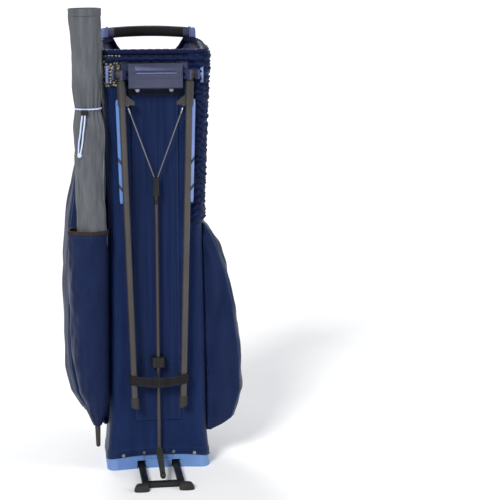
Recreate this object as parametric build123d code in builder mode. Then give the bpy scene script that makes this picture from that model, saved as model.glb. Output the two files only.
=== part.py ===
from build123d import *
import os
from math import sqrt

# Golf stand bag. Millimetres, +Z up. The origin is the centre of the base's standing
# face, on the axis of the bag. -Y is the leg side and +Y is the strap side.

# ---- clearances
FIT = 0.3            # between pieces that touch on the real bag
PIN_FIT = 0.04       # a pin in the hole that holds it
RUN_FIT = 0.08       # a pin in the hole that turns on it

# ---- plan of the body at five levels: a flat, slightly dished leg side and a round strap side
BASE_HALF_WIDTH, BASE_LEG_SIDE, BASE_STRAP_SIDE = 107.0, 92.0, 112.0
LOWER_HEIGHT, LOWER_HALF_WIDTH, LOWER_LEG_SIDE, LOWER_STRAP_SIDE = 90.0, 99.0, 87.0, 108.0
WAIST_HEIGHT, WAIST_HALF_WIDTH, WAIST_LEG_SIDE, WAIST_STRAP_SIDE = 540.0, 93.5, 82.0, 104.0
COLLAR_HEIGHT, COLLAR_HALF_WIDTH, COLLAR_LEG_SIDE, COLLAR_STRAP_SIDE = 770.0, 102.0, 88.0, 107.0
TOP_HEIGHT, TOP_HALF_WIDTH, TOP_LEG_SIDE, TOP_STRAP_SIDE = 880.0, 107.5, 92.0, 110.0
LEG_FACE_DISH = 12.0
CORNER_RADIUS = 20.0

# ---- body shell and base
WALL = 2.5
HEM_HEIGHT = 16.0
BASE_HEIGHT = 45.0
BASE_WALL = 4.0
BASE_SKIRT = 5.0
FLOOR_UNDERSIDE = 16.5
FLOOR_THICKNESS = 3.0
HUB_RADIUS = 30.0
RIB_THICKNESS = 4.0
RECESS_HALF_WIDTH, RECESS_LOW, RECESS_HIGH, RECESS_DEPTH = 31.0, 18.5, 28.0, 2.0
PAD_THICKNESS = 4.0

# ---- collar
SEAM_LEG_HEIGHT = 806.0        # seam between shell and collar, leg side
SEAM_STRAP_HEIGHT = 792.0      # the same seam, strap side
COLLAR_WALL = 5.0
SKIRT_WALL = 3.0
SKIRT_LOW = 765.0
RIM_LEG_HEIGHT = 847.0
RIM_HANDLE_HEIGHT = 866.0
RIM_GATE_HEIGHT = 820.0
RIM_PAD_WIDTH = 15.0
RIM_PAD_HEIGHT = 13.0
GATE_RUN = 30.0                # how far the rim takes to drop from handle to gate

# ---- handle
HANDLE_PLACE = 60.0
HANDLE_HALF_SPAN = 83.0
HANDLE_CENTRE = 871.0
HANDLE_ARCH = 4.0
GRIP_DEPTH, GRIP_HEIGHT, GRIP_ROUND = 20.0, 22.0, 8.0
CAP_LENGTH, CAP_DEPTH, CAP_HEIGHT = 13.0, 22.0, 25.0

# ---- club dividers
DIVIDER_BAR = 10.0
DIVIDER_LOW, DIVIDER_HIGH = 752.0, 784.0
DIVIDER_PLACE = 8.0
SHEET = 1.5
STAY_RADIUS = 3.0
STAY_PLACE = (76.0, -62.0)
SOCKET_WALL = 4.0

# ---- leg housing, legs and their hinge
HOUSING_HALF_WIDTH, HOUSING_LOW, HOUSING_HIGH = 52.0, 772.0, 821.0
HOUSING_FRONT = -112.0
HOUSING_PLATE_HALF_WIDTH, HOUSING_PLATE_FRONT = 82.0, -95.0
LEG_PIVOT_X, LEG_Y, LEG_PIVOT_HEIGHT = 66.0, -104.0, 800.0
LEG_FOOT_X, LEG_FOOT_HEIGHT = 48.0, 131.0
LEG_SPLAY = (0.882, 0.471)     # direction of the hinge axis in plan, across and back
LEG_RADIUS = 6.5
LEG_TUBE_WALL = 1.2
LEG_TUBE_TOP = 16.0            # below the pivot, along the leg
KNUCKLE_RADIUS, KNUCKLE_LENGTH = 9.0, 14.0
EAR_THICKNESS = 4.0
EAR_GAP = 0.4
LEG_PIN_RADIUS = 3.0
SLEEVE_RADIUS, SLEEVE_TOP, SLEEVE_LENGTH = 8.5, 13.0, 46.0
ELBOW_REACH, ELBOW_DROP, ELBOW_THICKNESS = 24.0, 26.0, 7.0
TIP_RADIUS, TIP_LENGTH = 8.2, 26.0
LOCK_HEIGHT, LOCK_PLACE, LOCK_THICKNESS, LOCK_SAG = 20.0, 189.0, 2.4, 6.0
LOCK_LAP = 10.0
LOCK_FIT = 0.9

# ---- push rod, spreader wires and foot
ROD_Y, ROD_RADIUS, ROD_TOP, ROD_LOW = -90.0, 3.5, 575.0, 42.0
COUPLER_WIDTH, COUPLER_DEPTH, COUPLER_LOW, COUPLER_HIGH = 12.0, 10.0, 562.0, 598.0
WIRE_RADIUS = 1.3
WIRE_FOOT = (3.4, -90.0, 598.6)
WIRE_TOP = (54.5, -104.0, 740.2)
WIRE_SHORT = 4.2               # the wire stops this far below its eye in the leg bracket
GUIDE_WIDTH, GUIDE_LOW, GUIDE_HIGH, GUIDE_FRONT = 26.0, 216.0, 236.0, -97.0
BOOT_TOP = (0.0, -90.0, 41.5)
BOOT_END = (0.0, -183.0, 17.0)
BOOT_RADIUS, BOOT_END_RADIUS = 7.0, 5.0
FOOT_HINGE_Y, FOOT_HINGE_Z = -62.0, 6.0
FOOT_PIN_RADIUS = 2.5
FOOT_ARM_X, FOOT_ARM_WIDTH, FOOT_ARM_HEIGHT = 35.0, 13.0, 8.0
FOOT_BAR_Y, FOOT_BAR_DEPTH, FOOT_BAR_HEIGHT = -190.0, 16.0, 9.0
FOOT_PAD_IN, FOOT_PAD_OUT, FOOT_PAD_DEPTH, FOOT_PAD_HEIGHT = 28.0, 58.0, 22.0, 13.0
BOSS_WIDTH, BOSS_DEPTH = 6.0, 13.0
NOTCH_SIDE_GAP = 2.5

# ---- side pockets: height, outer half width of the body plus pocket
GARMENT_LEVELS = [(84, 112), (112, 142), (150, 164), (200, 174), (270, 178), (430, 177), (500, 170),
                  (565, 160), (625, 149), (685, 135), (745, 116)]
GARMENT_FRONT, GARMENT_BACK = -36.0, 58.0
APPAREL_LEVELS = [(70, 122), (94, 156), (150, 173), (220, 172), (331, 158), (400, 143), (450, 126),
                  (500, 105)]
APPAREL_FRONT, APPAREL_BACK = -58.0, 58.0
POCKET_SEAT = 86.0
POCKET_ROUND = 26.0

# ---- strap side pockets
BALL_HALF_WIDTH, BALL_LOW, BALL_HIGH, BALL_SPRING, BALL_FRONT = 85.0, 85.0, 340.0, 262.0, 158.0
BALL_ROUND = 16.0
POUCH_HALF_WIDTH, POUCH_LOW, POUCH_HIGH, POUCH_FRONT = 65.0, 362.0, 441.0, 130.0
POUCH_ROUND = 9.0
MESH_HALF_WIDTH, MESH_LOW, MESH_HIGH, MESH_THICKNESS = 68.0, 443.0, 530.0, 2.5

# ---- straps, badge and side fabric
STRAP_X, STRAP_WIDTH, STRAP_LOW, STRAP_HIGH, STRAP_THICKNESS = 50.0, 34.0, 594.0, 781.0, 3.0
ADJUSTER_TOP_WIDTH, ADJUSTER_LOW_WIDTH, ADJUSTER_LOW, ADJUSTER_BAR = 42.0, 24.0, 566.0, 3.6
TAB_WIDTH, TAB_LOW, TAB_HIGH = 36.0, 532.0, 563.0
BADGE_HALF_WIDTH, BADGE_LOW, BADGE_HIGH, BADGE_THICKNESS = 31.0, 752.0, 790.0, 2.0
RUCHE_THICKNESS = 4.0
RUCHE_RIGHT_FRONT, RUCHE_LEFT_FRONT, RUCHE_BACK = -80.0, -60.0, 44.0
RUCHE_RIGHT_LOW, RUCHE_LEFT_LOW = 503.0, 748.0
SPINE_HALF_WIDTH, SPINE_LOW, SPINE_HIGH, SPINE_THICKNESS = 46.0, 100.0, 770.0, 1.5

# ---- fasteners
SCREW_HEAD_RADIUS, SCREW_HEAD, SCREW_RADIUS, SCREW_LENGTH = 3.4, 1.6, 1.6, 6.0
RIVET_HEAD_RADIUS, RIVET_HEAD, RIVET_RADIUS, RIVET_LENGTH = 4.0, 1.8, 2.0, 5.5
HEAD_LIFT = 0.6      # a flat head stands off the sloping wall by this much
LEG_SCREWS = [(-30.0, 34.0), (30.0, 34.0), (-72.0, 31.0), (72.0, 31.0)]
STRAP_SCREWS = [(-82.0, 30.0), (-34.0, 28.0), (34.0, 28.0), (82.0, 30.0)]
LEG_RIVETS = [(-33.0, 768.0), (33.0, 768.0)]
STRAP_RIVETS = [(-47.0, 786.0), (47.0, 786.0)]

# ---- umbrella, its pocket and sheath
UMBRELLA_FOOT = (-122.0, -82.0, 52.0)
UMBRELLA_HEAD = (-132.0, -95.0, 925.0)
UMBRELLA_POCKET_LEVELS = [(98, 8.4, 8.4), (128, 20, 20), (170, 30, 29), (260, 37, 33), (400, 40, 34),
                          (497, 39, 34)]
POCKET_CLOTH = 2.0
SEAM_PLACE, SEAM_THICKNESS, SEAM_LOW, SEAM_HIGH = -68.0, 4.0, 150.0, 490.0
SHEATH_LOW, SHEATH_WALL = 400.0, 1.5
SHEATH_RADIUS, SHEATH_CINCH, SHEATH_MOUTH = 28.5, 24.0, 30.5
CINCH_PLACE = 684.0
FERRULE_RADIUS, FERRULE_LENGTH = 6.0, 52.0
CANOPY_RADIUS, CANOPY_TOP = 22.0, 790.0
CANOPY_SHOULDER = 470.0
KNOB_RADIUS, KNOB_TOP = 14.0, 862.0
CORD_RADIUS = 1.5
CORD_LOCK_SIZE = (15.0, 11.0, 10.0)
CORD_LOCK = (-137.5, -122.8, 730.0)
CORD_A = [(-136.5, -124.5, 724.7), (-137.8, -125.2, 708.5), (-140.8, -123.9, 689.5),
          (-142.4, -122.4, 670.5), (-146.2, -120.6, 652.0)]
CORD_B = [(-141.5, -124.0, 724.6), (-144.4, -123.8, 707.5), (-146.0, -121.6, 689.0),
          (-149.6, -119.8, 671.0), (-150.2, -119.2, 652.3)]
KNOT = (-148.2, -119.6, 648.0)
KNOT_RADIUS = 5.0

# ---- zips: each is x, top and bottom of its tape
TAPE_WIDTH, TAPE_THICKNESS = 14.0, 1.2
SLIDER_WIDTH, SLIDER_HEIGHT, SLIDER_DEPTH = 8.0, 13.0, 4.0
PULL_WIDTH, PULL_THICKNESS = 6.0, 2.2
GARMENT_UPPER_ZIP = (-103.0, 714.0, 628.0)
GARMENT_LOWER_ZIP = (-126.0, 660.0, 160.0)
APPAREL_ZIP = (104.0, 438.0, 130.0)
BALL_ZIP = (68.0, 238.0, 100.0)

# ---- accessory ring on the collar
RING_X, RING_TOP, RING_HEIGHT, RING_WIDTH, RING_BAR = -92.0, 788.0, 32.0, 24.0, 3.6
RING_STANDOFF = 8.5
RING_TAB_WIDTH = 10.5

os.makedirs("parts", exist_ok=True)

BODY_LEVELS = [
    (0.0, BASE_HALF_WIDTH, BASE_LEG_SIDE, BASE_STRAP_SIDE),
    (LOWER_HEIGHT, LOWER_HALF_WIDTH, LOWER_LEG_SIDE, LOWER_STRAP_SIDE),
    (WAIST_HEIGHT, WAIST_HALF_WIDTH, WAIST_LEG_SIDE, WAIST_STRAP_SIDE),
    (COLLAR_HEIGHT, COLLAR_HALF_WIDTH, COLLAR_LEG_SIDE, COLLAR_STRAP_SIDE),
    (TOP_HEIGHT, TOP_HALF_WIDTH, TOP_LEG_SIDE, TOP_STRAP_SIDE),
]


def save(name, part):
    """Label a finished piece and write it."""
    part.label = name
    export_step(part, f"parts/{name}.step")


def save_both(name, left_part):
    """Write a left-hand piece and its mirror image on the right."""
    save(f"{name}_left", left_part)
    with BuildPart() as right:
        mirror(left_part, about=Plane.YZ)
    save(f"{name}_right", right.part)


def body_size(height, gap=0.0):
    """Half width, leg side depth and strap side depth of the body at a height, grown by gap."""
    for low, high in zip(BODY_LEVELS, BODY_LEVELS[1:]):
        if height <= high[0]:
            break
    share = (height - low[0]) / (high[0] - low[0])
    return [a + share * (b - a) + gap for a, b in zip(low[1:], high[1:])]


def leg_face(x, height, gap=0.0):
    """Y of the dished leg side at x."""
    half_width, leg_side, _ = body_size(height, gap)
    radius = (half_width**2 + LEG_FACE_DISH**2) / (2 * LEG_FACE_DISH)
    return LEG_FACE_DISH - leg_side - radius + sqrt(radius**2 - x**2)


def strap_circle(height, gap=0.0):
    """Centre Y and radius of the round strap side."""
    half_width, _, strap_side = body_size(height, gap)
    centre = (strap_side**2 - half_width**2) / (2 * strap_side)
    return centre, strap_side - centre


def strap_plane(x, height, gap=0.0):
    """Upright plane that touches the round strap side at x, facing out, local Y up."""
    centre, radius = strap_circle(height, gap)
    rise = sqrt(radius**2 - x**2)
    return Plane(origin=(x, centre + rise, height), x_dir=(-rise, x, 0), z_dir=(x, rise, 0))


def leg_plane(x, height, gap=0.0):
    """Upright plane on the leg side at x, facing out, local Y up."""
    return Plane(origin=(x, leg_face(x, height, gap), height), x_dir=(1, 0, 0), z_dir=(0, -1, 0))


def body_outline(height, gap=0.0):
    """Plan of the body at a height, grown by gap."""
    half_width, leg_side, strap_side = body_size(height, gap)
    with BuildSketch(Plane.XY.offset(height)) as outline:
        with BuildLine():
            ThreePointArc((-half_width, -leg_side), (0, LEG_FACE_DISH - leg_side), (half_width, -leg_side))
            Line((half_width, -leg_side), (half_width, 0))
            ThreePointArc((half_width, 0), (0, strap_side), (-half_width, 0))
            Line((-half_width, 0), (-half_width, -leg_side))
        make_face()
        fillet(outline.vertices().sort_by(Axis.Y)[:2], CORNER_RADIUS + gap)
    return outline.sketch


def body_form(gap, low, high):
    """Solid form of the body between two heights, grown by gap."""
    between = [level[0] for level in BODY_LEVELS if low + 1 < level[0] < high - 1]
    outlines = [body_outline(height, gap) for height in [low, *between, high]]
    with BuildPart() as form:
        loft(outlines, ruled=True)
    return form.part


def skin(inner_gap, outer_gap, low, high):
    """Closed band around the body between two heights."""
    inner = body_form(inner_gap, low, high)
    with BuildPart() as band:
        add(body_form(outer_gap, low, high))
        add(inner, mode=Mode.SUBTRACT)
    return band.part


def patch(inner_gap, outer_gap, corner, opposite):
    """Piece of such a band inside a box given by two corners."""
    band = skin(inner_gap, outer_gap, corner[2], opposite[2])
    centre = [(a + b) / 2 for a, b in zip(corner, opposite)]
    size = [b - a for a, b in zip(corner, opposite)]
    with BuildPart() as piece:
        add(band)
        with Locations(tuple(centre)):
            Box(*size, mode=Mode.INTERSECT)
    return piece.part


def side_slab(points):
    """Slab across the whole bag with this outline in the YZ plane."""
    with BuildPart() as slab:
        with BuildSketch(Plane.YZ):
            with BuildLine():
                Polyline(*points, close=True)
            make_face()
        extrude(amount=2 * BASE_HALF_WIDTH, both=True)
    return slab.part


def seam_height(y):
    """Height of the seam between shell and collar at a depth."""
    share = (y + TOP_LEG_SIDE) / (TOP_LEG_SIDE + TOP_STRAP_SIDE)
    return SEAM_LEG_HEIGHT + share * (SEAM_STRAP_HEIGHT - SEAM_LEG_HEIGHT)


def rim_points(drop):
    """Top line of the rim from leg side to strap side, lowered by drop."""
    return [
        (-TOP_LEG_SIDE - CORNER_RADIUS, RIM_LEG_HEIGHT - drop),
        (-TOP_LEG_SIDE + CORNER_RADIUS, RIM_LEG_HEIGHT - drop),
        (HANDLE_PLACE + CAP_DEPTH / 2, RIM_HANDLE_HEIGHT - drop),
        (HANDLE_PLACE + CAP_DEPTH / 2 + GATE_RUN, RIM_GATE_HEIGHT - drop),
        (TOP_STRAP_SIDE + CORNER_RADIUS, RIM_GATE_HEIGHT - drop),
    ]


front_y = -TOP_LEG_SIDE - CORNER_RADIUS
back_y = TOP_STRAP_SIDE + CORNER_RADIUS
seam_line = [(back_y, seam_height(back_y)), (front_y, seam_height(front_y))]
below_seam = side_slab([(y, height - FIT) for y, height in seam_line] + [(front_y, 0), (back_y, 0)])
collar_band = side_slab(rim_points(RIM_PAD_HEIGHT + FIT) + seam_line)
body_clearance = body_form(FIT, 0, TOP_HEIGHT)
base_gap = -(WALL + FIT)
stay_centres = [(side * STAY_PLACE[0], STAY_PLACE[1]) for side in (-1, 1)]
screw_planes = [leg_plane(x, z) for x, z in LEG_SCREWS] + [strap_plane(x, z) for x, z in STRAP_SCREWS]
rivet_planes = [leg_plane(x, z) for x, z in LEG_RIVETS] + [strap_plane(x, z) for x, z in STRAP_RIVETS]


def drill(planes, radius):
    """Cut a through hole of this radius at each plane."""
    with Locations(*planes):
        Cylinder(radius, 8 * WALL, mode=Mode.SUBTRACT)


def fasteners(planes, head_radius, head, shank_radius, length):
    """Round-headed fasteners, one at each plane, with the shank inside."""
    with BuildPart() as group:
        with Locations(*[plane.offset(HEAD_LIFT + head / 2) for plane in planes]):
            Cylinder(head_radius, head)
        with Locations(*[plane.offset(HEAD_LIFT - length / 2) for plane in planes]):
            Cylinder(shank_radius, length)
    return group.part


# ---- base: a moulded cup with a ribbed underside, notched for the foot's arms
foot_arm_centres = [side * FOOT_ARM_X for side in (-1, 1)]
boss_offset = FOOT_ARM_WIDTH / 2 + FIT + BOSS_WIDTH / 2
base_floor = FLOOR_UNDERSIDE + FLOOR_THICKNESS
base_outer = body_form(base_gap, 0, BASE_HEIGHT)
base_inside = body_form(base_gap - BASE_WALL, base_floor, BASE_HEIGHT)
base_underside = body_form(base_gap - BASE_SKIRT, 0, FLOOR_UNDERSIDE)
rib_ends = (LEG_FACE_DISH - BASE_LEG_SIDE - base_gap + 2, BASE_STRAP_SIDE + base_gap - 4)
with BuildPart() as base_cup:
    add(base_outer)
    add(base_inside, mode=Mode.SUBTRACT)
    add(base_underside, mode=Mode.SUBTRACT)
    with Locations((0, 0, FLOOR_UNDERSIDE / 2)):
        Cylinder(HUB_RADIUS, FLOOR_UNDERSIDE)
        Box(2 * (BASE_HALF_WIDTH - WALL - BASE_SKIRT), RIB_THICKNESS, FLOOR_UNDERSIDE)
    with Locations((0, sum(rib_ends) / 2, FLOOR_UNDERSIDE / 2)):
        Box(RIB_THICKNESS, rib_ends[1] - rib_ends[0], FLOOR_UNDERSIDE)
    for arm_x in foot_arm_centres:
        for boss_x in (arm_x - boss_offset, arm_x + boss_offset):
            with Locations((boss_x, FOOT_HINGE_Y, FLOOR_UNDERSIDE / 2)):
                Box(BOSS_WIDTH, BOSS_DEPTH, FLOOR_UNDERSIDE)
        with Locations((arm_x, -BASE_LEG_SIDE, FLOOR_UNDERSIDE / 2)):
            Box(FOOT_ARM_WIDTH + 2 * NOTCH_SIDE_GAP, 44, FLOOR_UNDERSIDE, mode=Mode.SUBTRACT)
    with Locations(Location((0, FOOT_HINGE_Y, FOOT_HINGE_Z), (0, 90, 0))):
        Cylinder(FOOT_PIN_RADIUS + PIN_FIT, 2 * (FOOT_ARM_X + boss_offset + BOSS_WIDTH), mode=Mode.SUBTRACT)
    with Locations((0, leg_face(0, RECESS_LOW, base_gap), (RECESS_LOW + RECESS_HIGH) / 2)):
        Box(2 * RECESS_HALF_WIDTH, 2 * RECESS_DEPTH, RECESS_HIGH - RECESS_LOW, mode=Mode.SUBTRACT)
    drill(screw_planes, SCREW_RADIUS + PIN_FIT)
save("base_cup", base_cup.part)

with BuildPart() as base_pad:
    add(body_form(base_gap - BASE_WALL - FIT, base_floor + FIT, base_floor + FIT + PAD_THICKNESS))
save("base_pad", base_pad.part)

# ---- body shell: a fabric tube, open at the top for the clubs and closed below by the base
shell_band = skin(-WALL, 0, HEM_HEIGHT, TOP_HEIGHT)
with BuildPart() as body_shell:
    add(shell_band)
    add(below_seam, mode=Mode.INTERSECT)
    drill(screw_planes + rivet_planes, RIVET_RADIUS + PIN_FIT)
save("body_shell", body_shell.part)
save("base_screws", fasteners(screw_planes, SCREW_HEAD_RADIUS, SCREW_HEAD, SCREW_RADIUS, SCREW_LENGTH))

# ---- collar frame: a moulded ring with a skirt inside the shell and sockets for the stays
skirt_gap = -(WALL + FIT)
ring = skin(-COLLAR_WALL, 0, SKIRT_LOW, TOP_HEIGHT)
skirt = skin(skirt_gap - SKIRT_WALL, skirt_gap, SKIRT_LOW, DIVIDER_HIGH + 12)
skirt_form = body_form(skirt_gap - 1, SKIRT_LOW, DIVIDER_HIGH)
socket_radius = STAY_RADIUS + SOCKET_WALL
with BuildPart() as sockets:
    for side in (-1, 1):
        with Locations((side * (STAY_PLACE[0] + 6), STAY_PLACE[1] - 3, (SKIRT_LOW + DIVIDER_HIGH) / 2)):
            Box(2 * socket_radius + 12, 2 * socket_radius + 6, DIVIDER_HIGH - SKIRT_LOW)
    add(skirt_form, mode=Mode.INTERSECT)
with BuildPart() as collar_frame:
    add(ring)
    add(collar_band, mode=Mode.INTERSECT)
    add(skirt)
    add(sockets.part)
    with Locations(*[(x, y, SKIRT_LOW) for x, y in stay_centres]):
        Cylinder(STAY_RADIUS + PIN_FIT, 2 * (DIVIDER_HIGH - SKIRT_LOW - SOCKET_WALL), mode=Mode.SUBTRACT)
    drill(rivet_planes, RIVET_RADIUS + PIN_FIT)
save("collar_frame", collar_frame.part)
save("collar_rivets", fasteners(rivet_planes, RIVET_HEAD_RADIUS, RIVET_HEAD, RIVET_RADIUS, RIVET_LENGTH))

stay_low = base_floor + 2 * FIT + PAD_THICKNESS
stay_high = DIVIDER_HIGH - SOCKET_WALL - FIT
with BuildPart() as stays:
    with Locations(*[(x, y, (stay_low + stay_high) / 2) for x, y in stay_centres]):
        Cylinder(STAY_RADIUS, stay_high - stay_low)
save("stays", stays.part)

# ---- handle: two end caps on the collar and an arched grip between them
cap_centres = [(side * (HANDLE_HALF_SPAN + CAP_LENGTH / 2), HANDLE_PLACE) for side in (-1, 1)]
cap_low = rim_points(RIM_PAD_HEIGHT)[2][1] + FIT
cap_high = cap_low + CAP_HEIGHT + 4
with BuildPart() as handle_caps:
    with Locations(*[(x, y, (cap_low + cap_high) / 2) for x, y in cap_centres]):
        Box(CAP_LENGTH, CAP_DEPTH, cap_high - cap_low)
    fillet(handle_caps.edges().filter_by(Axis.X).group_by(Axis.Z)[-1], 7)
save("handle_caps", handle_caps.part)

with BuildPart() as handle_grip:
    with BuildLine() as grip_path:
        ThreePointArc((-HANDLE_HALF_SPAN, HANDLE_PLACE, HANDLE_CENTRE),
                      (0, HANDLE_PLACE, HANDLE_CENTRE + HANDLE_ARCH),
                      (HANDLE_HALF_SPAN, HANDLE_PLACE, HANDLE_CENTRE))
    with BuildSketch(Plane(origin=grip_path.line @ 0, x_dir=(0, 1, 0), z_dir=grip_path.line % 0)):
        RectangleRounded(GRIP_DEPTH, GRIP_HEIGHT, GRIP_ROUND)
    sweep()
    with Locations((0, HANDLE_PLACE, HANDLE_CENTRE)):
        Box(2 * (HANDLE_HALF_SPAN - FIT), 2 * GRIP_DEPTH, 3 * GRIP_HEIGHT, mode=Mode.INTERSECT)
save("handle_grip", handle_grip.part)

rim_ring = skin(-RIM_PAD_WIDTH, 0, SKIRT_LOW, TOP_HEIGHT)
rim_band = side_slab(rim_points(0) + list(reversed(rim_points(RIM_PAD_HEIGHT))))
with BuildPart() as rim_pad:
    add(rim_ring)
    add(rim_band, mode=Mode.INTERSECT)
    with Locations(*[(x, y, (cap_low + cap_high) / 2) for x, y in cap_centres]):
        Box(CAP_LENGTH + 2 * FIT, CAP_DEPTH + 2 * FIT, 3 * CAP_HEIGHT, mode=Mode.SUBTRACT)
    with Locations((0, HANDLE_PLACE, HANDLE_CENTRE)):
        Box(2 * HANDLE_HALF_SPAN, GRIP_DEPTH + 4 * FIT, GRIP_HEIGHT + 6 * FIT, mode=Mode.SUBTRACT)
save("rim_pad", rim_pad.part)

# ---- club dividers: padded bars across the mouth and cloth sheets below them
divider_gap = skirt_gap - max(SKIRT_WALL, BASE_WALL) - FIT
bar_form = body_form(divider_gap, DIVIDER_LOW, DIVIDER_HIGH)
sheet_low = base_floor + 2 * FIT + PAD_THICKNESS
sheet_form = body_form(divider_gap, sheet_low, DIVIDER_LOW - FIT)


def cross(thickness, low, high):
    """Two upright plates that cross, much larger than the bag."""
    with BuildPart() as plates:
        with Locations((0, DIVIDER_PLACE, (low + high) / 2)):
            Box(3 * BASE_HALF_WIDTH, thickness, high - low)
        with Locations((0, 0, (low + high) / 2)):
            Box(thickness, 3 * BASE_HALF_WIDTH, high - low)
    return plates.part


with BuildPart() as divider_bars:
    add(cross(DIVIDER_BAR, DIVIDER_LOW, DIVIDER_HIGH))
    add(bar_form, mode=Mode.INTERSECT)
save("divider_bars", divider_bars.part)

with BuildPart() as divider_sheets:
    add(cross(SHEET, sheet_low, DIVIDER_LOW - FIT))
    add(sheet_form, mode=Mode.INTERSECT)
save("divider_sheets", divider_sheets.part)

# ---- leg side: housing with an ear on each side of each leg's knuckle
pivot = (-LEG_PIVOT_X, LEG_Y, LEG_PIVOT_HEIGHT)
hinge_plane = Plane(origin=pivot, x_dir=(0, 0, 1), z_dir=(-LEG_SPLAY[0], LEG_SPLAY[1], 0))
ear_offset = KNUCKLE_LENGTH / 2 + EAR_GAP + EAR_THICKNESS / 2
ear_planes = [hinge_plane.offset(ear_offset), hinge_plane.offset(-ear_offset)]


def ears():
    """The left leg's two ears, each a round eye on an arm that runs back into the housing."""
    with BuildPart() as pair:
        for plane in ear_planes:
            with BuildSketch(plane):
                Circle(KNUCKLE_RADIUS)
                with Locations((0, -KNUCKLE_RADIUS)):
                    Rectangle(2 * KNUCKLE_RADIUS, 2 * KNUCKLE_RADIUS)
            extrude(amount=EAR_THICKNESS / 2, both=True)
    return pair.part


left_ears = ears()
with BuildPart() as leg_housing:
    with Locations((0, HOUSING_FRONT / 2 - 35, (HOUSING_LOW + HOUSING_HIGH) / 2)):
        Box(2 * HOUSING_HALF_WIDTH, -HOUSING_FRONT - 70, HOUSING_HIGH - HOUSING_LOW)
    fillet(leg_housing.edges().filter_by(Axis.X).group_by(Axis.Y)[0], 7)
    with Locations((0, HOUSING_PLATE_FRONT / 2 - 30, LEG_PIVOT_HEIGHT)):
        Box(2 * HOUSING_PLATE_HALF_WIDTH, -HOUSING_PLATE_FRONT - 60, 2 * KNUCKLE_RADIUS)
    add(left_ears)
    mirror(left_ears, about=Plane.YZ)
    add(body_clearance, mode=Mode.SUBTRACT)
    for side in (-1, 1):
        bore_plane = Plane(origin=(side * LEG_PIVOT_X, LEG_Y, LEG_PIVOT_HEIGHT),
                           z_dir=(side * LEG_SPLAY[0], LEG_SPLAY[1], 0))
        with Locations(bore_plane):
            Cylinder(LEG_PIN_RADIUS + PIN_FIT, 2 * (ear_offset + EAR_THICKNESS), mode=Mode.SUBTRACT)
            Cylinder(SLEEVE_RADIUS + 1.5, KNUCKLE_LENGTH + 2 * EAR_GAP, mode=Mode.SUBTRACT)
save("leg_housing", leg_housing.part)

with BuildPart() as leg_pins:
    with Locations(hinge_plane):
        Cylinder(LEG_PIN_RADIUS, 2 * ear_offset + EAR_THICKNESS)
    mirror(about=Plane.YZ)
save("leg_pins", leg_pins.part)

# ---- legs: everything is drawn on a plane whose Z runs up the leg and whose X points outwards
leg_foot = Vector(-LEG_FOOT_X, LEG_Y, LEG_FOOT_HEIGHT)
leg_up = (Vector(*pivot) - leg_foot).normalized()
leg_length = (Vector(*pivot) - leg_foot).length
leg_frame = Plane(origin=pivot, x_dir=Vector(0, -1, 0).cross(leg_up), z_dir=leg_up)


def leg_level(below):
    """Plane across the leg, this far below the pivot."""
    return leg_frame.offset(-below)


tube_end = leg_length - TIP_LENGTH / 2
with BuildPart() as leg_tube:
    with BuildSketch(leg_level(tube_end)):
        Circle(LEG_RADIUS)
        Circle(LEG_RADIUS - LEG_TUBE_WALL, mode=Mode.SUBTRACT)
    extrude(amount=tube_end - LEG_TUBE_TOP)
save_both("leg_tube", leg_tube.part)

with BuildPart() as leg_bracket:
    with Locations(hinge_plane):
        Cylinder(KNUCKLE_RADIUS, KNUCKLE_LENGTH)
    with BuildSketch(leg_level(SLEEVE_TOP + SLEEVE_LENGTH)):
        Circle(SLEEVE_RADIUS)
    extrude(amount=SLEEVE_LENGTH)
    with BuildSketch(leg_level(SLEEVE_TOP + 1)):
        Circle(KNUCKLE_LENGTH / 2 - FIT)
    extrude(amount=SLEEVE_TOP)
    with BuildSketch(Plane(origin=leg_frame.origin, x_dir=leg_frame.x_dir, z_dir=-leg_frame.y_dir)):
        elbow_low = -(SLEEVE_TOP + SLEEVE_LENGTH)
        with BuildLine():
            Polyline((0, elbow_low), (-ELBOW_REACH, elbow_low), (-ELBOW_REACH, elbow_low + 6),
                     (0, elbow_low + ELBOW_DROP), close=True)
        make_face()
    extrude(amount=ELBOW_THICKNESS / 2, both=True)
    with BuildSketch(leg_level(SLEEVE_TOP + SLEEVE_LENGTH)):
        Circle(LEG_RADIUS + PIN_FIT)
    extrude(amount=SLEEVE_TOP + SLEEVE_LENGTH - LEG_TUBE_TOP + FIT, mode=Mode.SUBTRACT)
    with Locations(hinge_plane):
        Cylinder(LEG_PIN_RADIUS + RUN_FIT, 2 * KNUCKLE_LENGTH, mode=Mode.SUBTRACT)
save_both("leg_bracket", leg_bracket.part)

with BuildPart() as leg_tip:
    with BuildSketch(leg_level(leg_length)):
        Circle(TIP_RADIUS)
    extrude(amount=TIP_LENGTH)
    with BuildSketch(leg_level(tube_end + FIT)):
        Circle(LEG_RADIUS + PIN_FIT)
    extrude(amount=TIP_LENGTH, mode=Mode.SUBTRACT)
    slant = Plane(origin=leg_level(leg_length - 5).origin, z_dir=leg_up + Vector(0.35, 0, 0))
    split(bisect_by=slant, keep=Keep.TOP)
save_both("leg_tip", leg_tip.part)

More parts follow.
